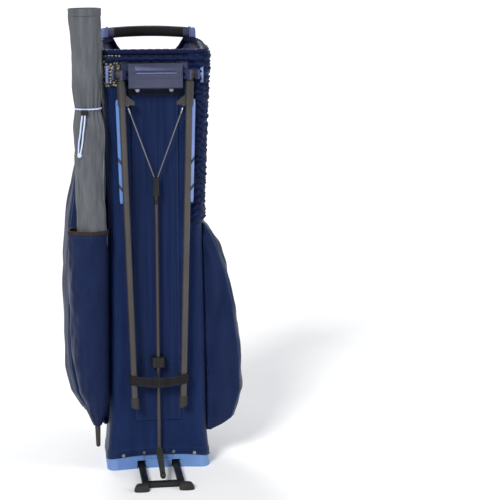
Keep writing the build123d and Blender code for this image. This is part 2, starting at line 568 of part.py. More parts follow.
# each half of the leg lock band hooks over its leg and meets the other half in the middle
lock_y = LEG_Y - LEG_RADIUS - LOCK_FIT - LOCK_THICKNESS / 2
lock_share = (LOCK_PLACE - LEG_FOOT_HEIGHT) / (LEG_PIVOT_HEIGHT - LEG_FOOT_HEIGHT)
lock_leg_x = LEG_FOOT_X + lock_share * (LEG_PIVOT_X - LEG_FOOT_X)
lock_outer = -(lock_leg_x + LEG_RADIUS + LOCK_FIT + LOCK_THICKNESS)
lock_plane = Plane(origin=(0, lock_y + LOCK_THICKNESS / 2, LOCK_PLACE), x_dir=(1, 0, 0), z_dir=(0, -1, 0))
lap_y = LEG_Y + LEG_RADIUS + LOCK_FIT + LOCK_THICKNESS / 2
with BuildPart() as lock_band:
    with BuildSketch(lock_plane):
        with BuildLine():
            Polyline((lock_outer, -LOCK_HEIGHT / 2 + LOCK_SAG), (-FIT, -LOCK_HEIGHT / 2),
                     (-FIT, LOCK_HEIGHT / 2), (lock_outer, LOCK_HEIGHT / 2 + LOCK_SAG), close=True)
        make_face()
    extrude(amount=LOCK_THICKNESS)
    with Locations((lock_outer + LOCK_THICKNESS / 2, LEG_Y, LOCK_PLACE + LOCK_SAG)):
        Box(LOCK_THICKNESS, 2 * (LEG_RADIUS + LOCK_FIT + LOCK_THICKNESS), LOCK_HEIGHT)
    with Locations((lock_outer + LOCK_LAP, lap_y, LOCK_PLACE + LOCK_SAG)):
        Box(2 * LOCK_LAP, LOCK_THICKNESS, LOCK_HEIGHT)
save_both("lock_band", lock_band.part)

# ---- push rod, its coupler, the rubber boot at its foot and the two spreader wires
with BuildPart() as push_rod:
    with Locations((0, ROD_Y, (ROD_LOW + ROD_TOP) / 2)):
        Cylinder(ROD_RADIUS, ROD_TOP - ROD_LOW)
save("push_rod", push_rod.part)

with BuildPart() as coupler:
    with Locations((0, ROD_Y, (COUPLER_LOW + COUPLER_HIGH) / 2)):
        Box(COUPLER_WIDTH, COUPLER_DEPTH, COUPLER_HIGH - COUPLER_LOW)
    fillet(coupler.edges().filter_by(Axis.Z), 2.5)
    with Locations((0, ROD_Y, COUPLER_LOW)):
        Cylinder(ROD_RADIUS + PIN_FIT, 2 * (ROD_TOP - COUPLER_LOW + FIT), mode=Mode.SUBTRACT)
save("coupler", coupler.part)

boot_path = Vector(*BOOT_END) - Vector(*BOOT_TOP)
with BuildPart() as rod_boot:
    with BuildSketch(Plane(origin=BOOT_TOP, z_dir=boot_path)):
        Circle(BOOT_RADIUS)
    with BuildSketch(Plane(origin=BOOT_END, z_dir=boot_path)):
        Circle(BOOT_END_RADIUS)
    loft()
    with Locations(BOOT_TOP):
        Sphere(BOOT_RADIUS)
    with Locations((0, ROD_Y, ROD_LOW + (COUPLER_LOW - ROD_LOW) / 2 - FIT)):
        Cylinder(ROD_RADIUS + PIN_FIT, COUPLER_LOW - ROD_LOW, mode=Mode.SUBTRACT)
save("rod_boot", rod_boot.part)

wire_foot = Vector(-WIRE_FOOT[0], WIRE_FOOT[1], WIRE_FOOT[2])
wire_top = Vector(-WIRE_TOP[0], WIRE_TOP[1], WIRE_TOP[2])
wire_run = wire_top - wire_foot
with BuildPart() as spreader_wire:
    with BuildSketch(Plane(origin=wire_foot, z_dir=wire_run)):
        Circle(WIRE_RADIUS)
    extrude(amount=wire_run.length - WIRE_SHORT)
save_both("spreader_wire", spreader_wire.part)

guide_back = leg_face(0, GUIDE_LOW, SPINE_THICKNESS + 2 * FIT)
with BuildPart() as rod_guide:
    with Locations((0, (guide_back + GUIDE_FRONT) / 2, (GUIDE_LOW + GUIDE_HIGH) / 2)):
        Box(GUIDE_WIDTH, guide_back - GUIDE_FRONT + 2, GUIDE_HIGH - GUIDE_LOW)
    fillet(rod_guide.edges().filter_by(Axis.Z).group_by(Axis.Y)[0], 6)
    add(body_form(SPINE_THICKNESS + 2 * FIT, 0, TOP_HEIGHT), mode=Mode.SUBTRACT)
    with Locations((0, ROD_Y, GUIDE_LOW)):
        Cylinder(ROD_RADIUS + 0.4, 3 * (GUIDE_HIGH - GUIDE_LOW), mode=Mode.SUBTRACT)
save("rod_guide", rod_guide.part)

spine_corners = ((-SPINE_HALF_WIDTH, -150, SPINE_LOW), (SPINE_HALF_WIDTH, -40, SPINE_HIGH))
with BuildPart() as spine_panel:
    add(patch(FIT, FIT + SPINE_THICKNESS, *spine_corners))
    drill(rivet_planes, RIVET_HEAD_RADIUS + FIT)
save("spine_panel", spine_panel.part)

# ---- foot: two arms hinged in the base, a bar between them and two rubber pads
arm_front = FOOT_BAR_Y + FOOT_BAR_DEPTH / 2
with BuildPart() as foot_frame:
    for arm_x in foot_arm_centres:
        with Locations((arm_x, (FOOT_HINGE_Y + arm_front) / 2, 1 + FOOT_ARM_HEIGHT / 2)):
            Box(FOOT_ARM_WIDTH, FOOT_HINGE_Y - arm_front, FOOT_ARM_HEIGHT)
        with Locations(Location((arm_x, FOOT_HINGE_Y, FOOT_HINGE_Z), (0, 90, 0))):
            Cylinder(FOOT_HINGE_Z - 0.5, FOOT_ARM_WIDTH)
            Cylinder(FOOT_PIN_RADIUS + RUN_FIT, 2 * FOOT_ARM_WIDTH, mode=Mode.SUBTRACT)
    with Locations((0, FOOT_BAR_Y, 1 + FOOT_BAR_HEIGHT / 2)):
        Box(2 * (FOOT_ARM_X + FOOT_ARM_WIDTH / 2), FOOT_BAR_DEPTH, FOOT_BAR_HEIGHT)
save("foot_frame", foot_frame.part)

pad_centre = (FOOT_PAD_IN + FOOT_PAD_OUT) / 2
pad_front = FOOT_BAR_Y - FOOT_BAR_DEPTH / 2 - FIT
with BuildPart() as foot_pads:
    for pad_x in (-pad_centre, pad_centre):
        with Locations((pad_x, pad_front - FOOT_PAD_DEPTH / 2, FOOT_PAD_HEIGHT / 2)):
            Box(FOOT_PAD_OUT - FOOT_PAD_IN, FOOT_PAD_DEPTH, FOOT_PAD_HEIGHT)
    fillet(foot_pads.edges().filter_by(Axis.Y).group_by(Axis.Z)[-1], 6)
save("foot_pads", foot_pads.part)

with BuildPart() as foot_pins:
    for arm_x in foot_arm_centres:
        with Locations(Location((arm_x, FOOT_HINGE_Y, FOOT_HINGE_Z), (0, 90, 0))):
            Cylinder(FOOT_PIN_RADIUS, 2 * boss_offset + BOSS_WIDTH)
save("foot_pins", foot_pins.part)


# ---- side pockets: soft boxes whose outer wall bulges, seated on the body's side
def side_pocket(side, levels, front, back):
    """Soft pocket on one side of the bag, through these levels."""
    outlines = []
    for height, outer in levels:
        with BuildSketch(Plane.XY.offset(height)) as outline:
            with Locations((side * (POCKET_SEAT + outer) / 2, (front + back) / 2)):
                Rectangle(outer - POCKET_SEAT, back - front)
            corners = outline.vertices().sort_by(Axis.X)
            outer_corners = corners[:2] if side < 0 else corners[-2:]
            fillet(outer_corners, min(POCKET_ROUND, 0.45 * (outer - POCKET_SEAT)))
        outlines.append(outline.sketch)
    with BuildPart() as pocket:
        loft(outlines, ruled=True)
        add(body_clearance, mode=Mode.SUBTRACT)
    return pocket.part


save("garment_pocket", side_pocket(-1, GARMENT_LEVELS, GARMENT_FRONT, GARMENT_BACK))
save("apparel_pocket", side_pocket(1, APPAREL_LEVELS, APPAREL_FRONT, APPAREL_BACK))

# ---- strap side pockets
with BuildPart() as ball_pocket:
    with BuildSketch(Plane.XZ.offset(-BALL_FRONT)):
        with BuildLine():
            Line((-BALL_HALF_WIDTH, BALL_SPRING), (-BALL_HALF_WIDTH, BALL_LOW))
            Line((-BALL_HALF_WIDTH, BALL_LOW), (BALL_HALF_WIDTH, BALL_LOW))
            Line((BALL_HALF_WIDTH, BALL_LOW), (BALL_HALF_WIDTH, BALL_SPRING))
            ThreePointArc((BALL_HALF_WIDTH, BALL_SPRING), (0, BALL_HIGH), (-BALL_HALF_WIDTH, BALL_SPRING))
        make_face()
    extrude(amount=BALL_FRONT - GARMENT_BACK - 2)
    fillet(ball_pocket.faces().sort_by(Axis.Y)[-1].edges(), BALL_ROUND)
    add(body_clearance, mode=Mode.SUBTRACT)
save("ball_pocket", ball_pocket.part)

with BuildPart() as valuables_pouch:
    with BuildSketch(Plane.XZ.offset(-POUCH_FRONT)):
        with Locations((0, (POUCH_LOW + POUCH_HIGH) / 2)):
            RectangleRounded(2 * POUCH_HALF_WIDTH, POUCH_HIGH - POUCH_LOW, 26)
    extrude(amount=POUCH_FRONT - GARMENT_BACK - 2)
    fillet(valuables_pouch.faces().sort_by(Axis.Y)[-1].edges(), POUCH_ROUND)
    add(body_clearance, mode=Mode.SUBTRACT)
save("valuables_pouch", valuables_pouch.part)

mesh_corners = ((-MESH_HALF_WIDTH, 20, MESH_LOW), (MESH_HALF_WIDTH, 150, MESH_HIGH))
save("mesh_panel", patch(FIT, FIT + MESH_THICKNESS, *mesh_corners))


# ---- webbing straps, their wire adjusters and the tabs below them
def webbing(width, low, high):
    """Flat piece of the left strap, lying on the strap side."""
    corner = (-STRAP_X - width / 2, 20, low)
    return patch(FIT, FIT + STRAP_THICKNESS, corner, (-STRAP_X + width / 2, 150, high))


save_both("shoulder_strap", webbing(STRAP_WIDTH, STRAP_LOW, STRAP_HIGH))

tab_piece = webbing(TAB_WIDTH, TAB_LOW, TAB_HIGH)
with BuildPart() as strap_tabs:
    add(tab_piece)
    mirror(tab_piece, about=Plane.YZ)
save("strap_tabs", strap_tabs.part)

adjuster_high = STRAP_LOW - FIT
adjuster_plane = strap_plane(-STRAP_X, adjuster_high, FIT)
adjuster_drop = adjuster_high - ADJUSTER_LOW


def trapezoid(inset):
    """Outline of the adjuster in its own plane, moved in by inset."""
    top = ADJUSTER_TOP_WIDTH / 2 - inset
    low = ADJUSTER_LOW_WIDTH / 2 - inset
    foot = inset - adjuster_drop
    Polyline((-top, -inset), (top, -inset), (low, foot), (-low, foot), close=True)


with BuildPart() as strap_adjusters:
    with BuildSketch(adjuster_plane):
        with BuildLine():
            trapezoid(0)
        make_face()
        with BuildLine():
            trapezoid(ADJUSTER_BAR)
        make_face(mode=Mode.SUBTRACT)
    extrude(amount=2 * ADJUSTER_BAR)
    add(body_clearance, mode=Mode.SUBTRACT)
    mirror(about=Plane.YZ)
save("strap_adjusters", strap_adjusters.part)

badge_plane = strap_plane(0, (BADGE_LOW + BADGE_HIGH) / 2, FIT)
badge_half = (BADGE_HIGH - BADGE_LOW) / 2
with BuildPart() as badge_plate:
    with BuildSketch(badge_plane):
        with BuildLine():
            Polyline((-BADGE_HALF_WIDTH, badge_half), (BADGE_HALF_WIDTH, badge_half),
                     (BADGE_HALF_WIDTH, -badge_half / 3), (BADGE_HALF_WIDTH / 2, -badge_half),
                     (-BADGE_HALF_WIDTH / 2, -badge_half), (-BADGE_HALF_WIDTH, -badge_half / 3), close=True)
        make_face()
    extrude(amount=-8)
    extrude(badge_plate.faces().sort_by(Axis.Y)[-1], amount=BADGE_THICKNESS)
    add(body_clearance, mode=Mode.SUBTRACT)
save("badge_plate", badge_plate.part)

# ---- ruched fabric on the sides of the collar; on the right it runs down to the pocket
collar_slab = side_slab(rim_points(1) + [(back_y, 0), (front_y, 0)])


def ruched_panel(side, front, low):
    """Gathered cloth on one side of the bag, from low to the rim."""
    near, far = sorted(side * x for x in (TOP_HALF_WIDTH - CORNER_RADIUS - 12, 2 * TOP_HALF_WIDTH))
    with BuildPart() as panel:
        add(patch(FIT, FIT + RUCHE_THICKNESS, (near, front, low), (far, RUCHE_BACK, TOP_HEIGHT)))
        add(collar_slab, mode=Mode.INTERSECT)
    return panel.part


save("ruched_panel_left", ruched_panel(-1, RUCHE_LEFT_FRONT, RUCHE_LEFT_LOW))
save("ruched_panel_right", ruched_panel(1, RUCHE_RIGHT_FRONT, RUCHE_RIGHT_LOW))


# ---- umbrella pocket: a sleeve open at the top, with a small hole below for the ferrule
def sleeve_form(inset, levels):
    """Solid form of the umbrella sleeve: against the body, or round the umbrella where it narrows."""
    outlines = []
    for height, half_x, half_y in levels:
        edge = body_size(height, 1.5 * FIT)[0]
        share = (height - UMBRELLA_FOOT[2]) / (UMBRELLA_HEAD[2] - UMBRELLA_FOOT[2])
        axis_x, axis_y = [a + share * (b - a) for a, b in zip(UMBRELLA_FOOT[:2], UMBRELLA_HEAD[:2])]
        with BuildSketch(Plane.XY.offset(height)) as outline:
            with Locations((min(-edge - half_x, axis_x), axis_y)):
                Ellipse(half_x - inset, half_y - inset)
        outlines.append(outline.sketch)
    with BuildPart() as form:
        loft(outlines, ruled=True)
    return form.part


sleeve_outer = sleeve_form(0, UMBRELLA_POCKET_LEVELS)
sleeve_inner = sleeve_form(POCKET_CLOTH, UMBRELLA_POCKET_LEVELS)
with BuildPart() as umbrella_pocket:
    add(sleeve_outer)
    with Locations((-TOP_HALF_WIDTH, SEAM_PLACE, (SEAM_LOW + SEAM_HIGH) / 2)):
        Box(2 * CORNER_RADIUS, SEAM_THICKNESS, SEAM_HIGH - SEAM_LOW)
    add(body_clearance, mode=Mode.SUBTRACT)
    add(sleeve_inner, mode=Mode.SUBTRACT)
save("umbrella_pocket", umbrella_pocket.part)

# ---- umbrella and sheath, turned about the umbrella's leaning axis
umbrella_foot = Vector(*UMBRELLA_FOOT)
umbrella_axis = Vector(*UMBRELLA_HEAD) - umbrella_foot
umbrella_frame = Plane(origin=umbrella_foot, x_dir=(1, 0, 0), z_dir=umbrella_axis)
profile_plane = Plane(origin=umbrella_foot, x_dir=umbrella_frame.x_dir, z_dir=-umbrella_frame.y_dir)
umbrella_line = Axis(umbrella_foot, umbrella_axis)


def turned(points):
    """Solid turned about the umbrella's axis from points (radius, distance above the ferrule's end)."""
    with BuildPart() as solid:
        with BuildSketch(profile_plane):
            with BuildLine():
                Polyline(*points, close=True)
            make_face()
        revolve(axis=umbrella_line)
    return solid.part


sheath_top = umbrella_axis.length
save("umbrella_canopy", turned([
    (0, 0), (FERRULE_RADIUS - 1.5, 0), (FERRULE_RADIUS, FERRULE_LENGTH), (9, FERRULE_LENGTH + 30),
    (CANOPY_RADIUS, CANOPY_SHOULDER), (CANOPY_RADIUS, CANOPY_TOP), (0, CANOPY_TOP)]))
save("umbrella_handle", turned([
    (0, CANOPY_TOP + FIT), (KNOB_RADIUS - 3, CANOPY_TOP + FIT), (KNOB_RADIUS, KNOB_TOP - 12),
    (KNOB_RADIUS - 4, KNOB_TOP), (0, KNOB_TOP)]))


def sheath_side(inset):
    """Side of the sheath from bottom to top, moved in by inset."""
    return [(SHEATH_RADIUS - inset, SHEATH_LOW), (SHEATH_RADIUS - inset, CINCH_PLACE - 40),
            (SHEATH_CINCH - inset, CINCH_PLACE - 3), (SHEATH_CINCH - inset, CINCH_PLACE + 3),
            (SHEATH_RADIUS - inset, CINCH_PLACE + 40), (SHEATH_MOUTH - inset, sheath_top)]


save("umbrella_sheath", turned(sheath_side(0) + list(reversed(sheath_side(SHEATH_WALL)))))

cinch_radius = SHEATH_CINCH + FIT + CORD_RADIUS
with BuildPart() as drawcord:
    with Locations(umbrella_frame.offset(CINCH_PLACE)):
        Torus(cinch_radius, CORD_RADIUS)
save("drawcord", drawcord.part)

with BuildPart() as cord_lock:
    with Locations(CORD_LOCK):
        Box(*CORD_LOCK_SIZE)
    fillet(cord_lock.edges().filter_by(Axis.Z), 4)
    with Locations(umbrella_frame.offset(CINCH_PLACE)):
        Torus(cinch_radius, CORD_RADIUS + FIT, mode=Mode.SUBTRACT)
    add(turned(sheath_side(-FIT) + [(0, sheath_top), (0, SHEATH_LOW)]), mode=Mode.SUBTRACT)
save("cord_lock", cord_lock.part)


def cord_tube(name, points):
    """Hanging cord: straight runs joined by tangent arcs as large as the runs allow."""
    runs = [Vector(*b) - Vector(*a) for a, b in zip(points, points[1:])]
    radii = []
    for before, after in zip(runs, runs[1:]):
        turn = before.get_angle(after)
        half_turn = Vector(1, 0, 0).rotate(Axis.Z, turn / 2)
        radii.append(0.45 * min(before.length, after.length) * half_turn.X / half_turn.Y)
    print(name, "radii", [round(radius) for radius in radii])
    with BuildPart() as tube:
        with BuildLine() as path:
            FilletPolyline(*points, radius=radii)
        with BuildSketch(Plane(origin=path.line @ 0, z_dir=path.line % 0)):
            Circle(CORD_RADIUS)
        sweep()
    print(name, "length", round(path.wires()[0].length, 1))
    save(name, tube.part)


cord_tube("drawcord_end_long", CORD_A)
cord_tube("drawcord_end_short", CORD_B)
with BuildPart() as drawcord_knot:
    with Locations(KNOT):
        Sphere(KNOT_RADIUS)
save("drawcord_knot", drawcord_knot.part)


# ---- zips: tapes on the pockets, and a slider with a hanging pull on each
def zip_tape(x, y, high, low):
    """Upright zip tape on a strap side wall."""
    with Locations((x, y + FIT + TAPE_THICKNESS / 2, (high + low) / 2)):
        Box(TAPE_WIDTH, TAPE_THICKNESS, high - low)


def zip_slider(x, y, high, pull_length):
    """Slider at the top of its tape with its pull hanging over it."""
    slider_y = y + 2 * FIT + TAPE_THICKNESS + SLIDER_DEPTH / 2
    with BuildPart() as slider:
        with Locations((x, slider_y, high - SLIDER_HEIGHT / 2)):
            Box(SLIDER_WIDTH, SLIDER_DEPTH, SLIDER_HEIGHT)
        with Locations((x, slider_y + SLIDER_DEPTH / 2 + PULL_THICKNESS / 2, high - 6 - pull_length / 2)):
            Box(PULL_WIDTH, PULL_THICKNESS, pull_length)
        fillet(slider.edges().filter_by(Axis.Y).group_by(Axis.Z)[0], 2)
    return slider.part


zips = {
    "garment_zip_pull_upper": (GARMENT_UPPER_ZIP, GARMENT_BACK, 62.0),
    "garment_zip_pull_lower": (GARMENT_LOWER_ZIP, GARMENT_BACK, 78.0),
    "apparel_zip_pull": (APPAREL_ZIP, APPAREL_BACK, 66.0),
    "ball_zip_pull": (BALL_ZIP, BALL_FRONT, 50.0),
}
with BuildPart() as zip_tapes:
    for (zip_x, zip_high, zip_low), wall, _ in zips.values():
        zip_tape(zip_x, wall, zip_high, zip_low)
save("zip_tapes", zip_tapes.part)
for zip_name, ((zip_x, zip_high, _), wall, pull_length) in zips.items():
    save(zip_name, zip_slider(zip_x, wall, zip_high - 8, pull_length))

# ---- accessory ring on the left of the collar, hanging from a webbing tab
ring_plane = strap_plane(RING_X, RING_TOP, 0)
ring_face = ring_plane.offset(RING_STANDOFF)
with BuildPart() as accessory_ring:
    with BuildSketch(ring_face):
        with Locations((0, -RING_HEIGHT / 2)):
            RectangleRounded(RING_WIDTH, RING_HEIGHT, 6)
            RectangleRounded(RING_WIDTH - 2 * RING_BAR, RING_HEIGHT - 2 * RING_BAR, 3, mode=Mode.SUBTRACT)
    extrude(amount=RING_BAR / 2, both=True)
save("accessory_ring", accessory_ring.part)

tab_wrap = RING_BAR / sqrt(2) + FIT
tab_outer = tab_wrap + 1.6
with BuildPart() as ring_tab:
    with BuildSketch(Plane(origin=ring_plane.origin, x_dir=ring_plane.z_dir, z_dir=-ring_plane.x_dir)):
        with Locations((RING_STANDOFF, -RING_BAR / 2)):
            Rectangle(2 * tab_outer, 2 * tab_outer)
            Circle(tab_wrap, mode=Mode.SUBTRACT)
        with Locations(((RING_STANDOFF + tab_outer) / 2 - 6, tab_outer - RING_BAR / 2 + 4)):
            Rectangle(RING_STANDOFF + tab_outer + 12, 8)
    extrude(amount=RING_TAB_WIDTH / 2, both=True)
    add(body_clearance, mode=Mode.SUBTRACT)
save("ring_tab", ring_tab.part)
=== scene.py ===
import bpy
import bmesh
import numpy as np
from math import sin, cos, pi, sqrt, radians, atan2
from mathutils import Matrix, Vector


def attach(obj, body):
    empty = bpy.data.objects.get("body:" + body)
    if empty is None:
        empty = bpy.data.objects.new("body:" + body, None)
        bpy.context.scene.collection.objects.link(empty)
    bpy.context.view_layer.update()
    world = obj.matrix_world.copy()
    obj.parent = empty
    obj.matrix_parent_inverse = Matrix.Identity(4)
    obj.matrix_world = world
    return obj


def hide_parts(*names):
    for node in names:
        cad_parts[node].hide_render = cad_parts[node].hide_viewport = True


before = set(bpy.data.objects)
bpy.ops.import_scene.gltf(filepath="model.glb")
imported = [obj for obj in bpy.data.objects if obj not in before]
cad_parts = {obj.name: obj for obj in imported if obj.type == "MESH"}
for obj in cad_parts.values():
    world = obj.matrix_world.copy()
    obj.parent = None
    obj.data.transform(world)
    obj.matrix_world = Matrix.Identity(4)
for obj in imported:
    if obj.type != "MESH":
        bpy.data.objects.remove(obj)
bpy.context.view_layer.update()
scene = bpy.context.scene
SIDES = ((-1, "left"), (1, "right"))
X_AXIS, Y_AXIS, Z_AXIS = np.eye(3)


def add_object(name, data):
    o = bpy.data.objects.new(name, data)
    scene.collection.objects.link(o)
    return o


def aim(o, direction):
    """Turn a camera or a lamp to look this way."""
    o.rotation_euler = Vector(direction).to_track_quat("-Z", "Y").to_euler()


# ---- camera
AWAY, EYE_HEIGHT = 3.0, 1.02
AZIMUTH, HEADING, PITCH = radians(4.4), radians(4.4 + 3.756), radians(11.03)
cam = add_object("camera", bpy.data.cameras.new("camera"))
cam.data.lens = 108.03
cam.data.sensor_width = 36.0
cam.location = (-AWAY * sin(AZIMUTH), -AWAY * cos(AZIMUTH), EYE_HEIGHT)
aim(cam, (sin(HEADING) * cos(PITCH), cos(HEADING) * cos(PITCH), -sin(PITCH)))
scene.camera = cam


# ---- materials
WAVE_LENGTH = .31416        # one wave of the bands texture at scale 1


class Nodes:
    """Node tree of a material or a world: each method adds a node and gives back its output."""

    def __init__(self, owner):
        self.owner = owner
        owner.use_nodes = True
        self.tree = owner.node_tree
        self.tree.nodes.clear()

    def node(self, kind, **settings):
        made = self.tree.nodes.new("ShaderNode" + kind)
        for key, value in settings.items():
            setattr(made, key, value)
        return made

    def plug(self, socket, x):
        if isinstance(x, bpy.types.NodeSocket):
            self.tree.links.new(x, socket)
        else:
            socket.default_value = (*x, 1.0) if socket.type == "RGBA" else x

    def put(self, node, **values):
        """Fill inputs by name, with _ for a space: a socket is linked, anything else is a value."""
        for key, x in values.items():
            self.plug(node.inputs[key.replace("_", " ")], x)

    def maths(self, op, a, b=None):
        node = self.node("Math", operation=op)
        self.plug(node.inputs[0], a)
        if b is not None:
            self.plug(node.inputs[1], b)
        return node.outputs[0]

    def mul(self, a, b):
        return self.maths("MULTIPLY", a, b)

    def add(self, a, b):
        return self.maths("ADD", a, b)

    def coords(self, uv=False):
        return self.node("TexCoord").outputs["UV" if uv else "Object"]

    def stretch(self, vec, scale):
        node = self.node("Mapping")
        self.put(node, Vector=vec, Scale=scale)
        return node.outputs[0]

    def noise(self, vec, scale, detail=3.0, rough=.55):
        node = self.node("TexNoise")
        self.put(node, Vector=vec, Scale=scale, Detail=detail, Roughness=rough)
        return node.outputs["Fac"]

    def bands(self, vec, axis, period):
        node = self.node("TexWave", wave_type="BANDS", bands_direction=axis, wave_profile="SIN")
        self.put(node, Vector=vec, Scale=WAVE_LENGTH / period)
        return node.outputs["Fac"]

    def ramp(self, fac, *stops):
        """Colour ramp with two stops."""
        node = self.node("ValToRGB")
        for element, (at, colour) in zip(node.color_ramp.elements, stops):
            element.position = at
            element.color = (*colour, 1.0)
        self.plug(node.inputs[0], fac)
        return node.outputs[0]

    def mix(self, fac, a, b):
        node = self.node("Mix", data_type="RGBA", blend_type="MIX")
        for i, x in ((0, fac), (6, a), (7, b)):
            self.plug(node.inputs[i], x)
        return node.outputs[2]

    def bump(self, shader, height, strength, distance=.001):
        node = self.node("Bump")
        self.put(node, Strength=strength, Distance=distance, Height=height)
        self.put(shader, Normal=node.outputs[0])


def principled(name):
    g = Nodes(bpy.data.materials.new(name))
    shader = g.node("BsdfPrincipled")
    g.put(g.node("OutputMaterial"), Surface=shader.outputs[0])
    return g, shader


def cloth(name, low, high, pitch=.0012, grid=0.0, uv=True, rough=.62, sheen=.35, depth=.5, crease=.6,
          streak=(6.0, 6.0, 1.2), gloss=.14):
    """Woven cloth: threads both ways, an optional ripstop grid, soft tone changes and fine creases."""
    g, shader = principled(name)
    vec, body = g.coords(uv), g.coords()
    along = "Y" if uv else "Z"
    weave = g.mul(g.add(g.bands(vec, "X", pitch), g.bands(vec, along, pitch)), .5)
    fleck = g.noise(vec, 900.0, 2.0)
    shade = g.add(g.mul(g.noise(g.stretch(body, streak), 9.0, 4.0), .75), g.mul(fleck, .25))
    colour = g.mix(g.mul(weave, .3), g.ramp(shade, (.3, low), (.7, high)), [.35 * c for c in low])
    height = g.mul(weave, .35)
    if grid:
        for axis in ("X", along):
            line = g.maths("POWER", g.bands(vec, axis, grid), 14.0)
            height = g.add(height, g.mul(line, .9))
            colour = g.mix(g.mul(line, .12), colour, [min(1.0, 1.8 * c) for c in high])
    wrinkle = g.noise(g.stretch(body, (1.0, 1.0, .45)), 26.0, 6.0, .6)
    g.bump(shader, g.add(height, g.mul(wrinkle, crease * 4.0)), depth)
    g.put(shader, Base_Color=colour, Roughness=g.add(g.mul(fleck, .16), rough - .08), Specular_IOR_Level=gloss,
          Specular_Tint=[.12 + .88 * c / max(high) for c in high], Sheen_Weight=.22 * sheen,
          Sheen_Roughness=.35, Sheen_Tint=[min(1.0, .05 + 3 * c) for c in high])
    return g.owner


def plastic(name, low, high, rough=.35, coat=0.0, grain=700.0, depth=.12, brushed=None, metal=0.0, wear=None,
            gloss=.5):
    """Moulded plastic, rubber, paint or metal: grain, tone changes, uneven gloss and worn high spots."""
    g, shader = principled(name)
    body = g.coords()
    fine = g.noise(g.stretch(body, brushed) if brushed else body, grain, 3.0, .7)
    colour = g.mix(g.mul(fine, .25), g.ramp(g.noise(body, 14.0, 5.0), (.32, low), (.68, high)),
                   [.5 * c for c in low])
    if wear:
        edge = g.ramp(g.node("NewGeometry").outputs["Pointiness"], (.62, (0, 0, 0)), (.72, (1, 1, 1)))
        colour = g.mix(g.mul(g.mul(edge, g.noise(body, 60.0, 5.0, .7)), .8), colour, wear)
    uneven = g.mul(g.noise(body, 45.0, 5.0, .65), .22)
    g.put(shader, Base_Color=colour, Roughness=g.add(uneven, rough - .11), Metallic=metal,
          Specular_IOR_Level=gloss, Coat_Weight=coat, Coat_Roughness=.18)
    g.bump(shader, fine, depth, .0006)
    return g.owner


def mottled(name, dark, pale, cell, share):
    """Open mesh over a pale cloth: pale cells in a dark net."""
    g, shader = principled(name)
    vec = g.coords(uv=True)
    spots = g.node("TexVoronoi", feature="F1")
    g.put(spots, Vector=vec, Scale=1.0 / cell)
    away = spots.outputs["Distance"]
    cells = g.ramp(away, (share - .12, pale), (share + .06, dark))
    g.put(shader, Base_Color=g.mix(g.mul(g.noise(vec, 500.0), .5), cells, dark), Roughness=.85)
    g.bump(shader, away, .6)
    return g.owner


def braided(name, low, high, pitch):
    """Round cord of strands that cross."""
    g, shader = principled(name)
    body = g.coords()
    plait = g.maths("MAXIMUM", *[g.bands(vec, "DIAGONAL", pitch) for vec in (body, g.stretch(body, (-1.0, 1.0, 1.0)))])
    tone = g.add(g.mul(plait, .6), g.mul(g.noise(body, 400.0), .4))
    g.put(shader, Base_Color=g.ramp(tone, (.2, low), (.75, high)), Roughness=.75, Sheen_Weight=.3)
    g.bump(shader, plait, .6, .0006)
    return g.owner


CUT_HEIGHTS, CUT_HALF, CUT_SLOPE, CUT_DARK = (.5409, .4902), .004, 1.3, (.012, .016, .04)


def strip_paint(name, pale, side):
    """Pale strip with dark slanted cuts across it."""
    g, shader = principled(name)
    body = g.coords()
    parts = g.node("SeparateXYZ")
    g.plug(parts.inputs[0], body)
    slant = g.add(parts.outputs["Z"], g.mul(parts.outputs["X"], CUT_SLOPE * side))
    colour = g.ramp(g.noise(body, 30.0, 4.0), (.3, [.82 * c for c in pale]), (.7, pale))
    for at in CUT_HEIGHTS:
        line = g.maths("LESS_THAN", g.maths("ABSOLUTE", g.maths("SUBTRACT", slant, at)), CUT_HALF)
        colour = g.mix(line, colour, CUT_DARK)
    g.put(shader, Base_Color=colour, Roughness=g.add(g.mul(g.noise(body, 90.0, 4.0), .2), .24))
    g.bump(shader, g.noise(body, 700.0), .08, .0005)
    return g.owner


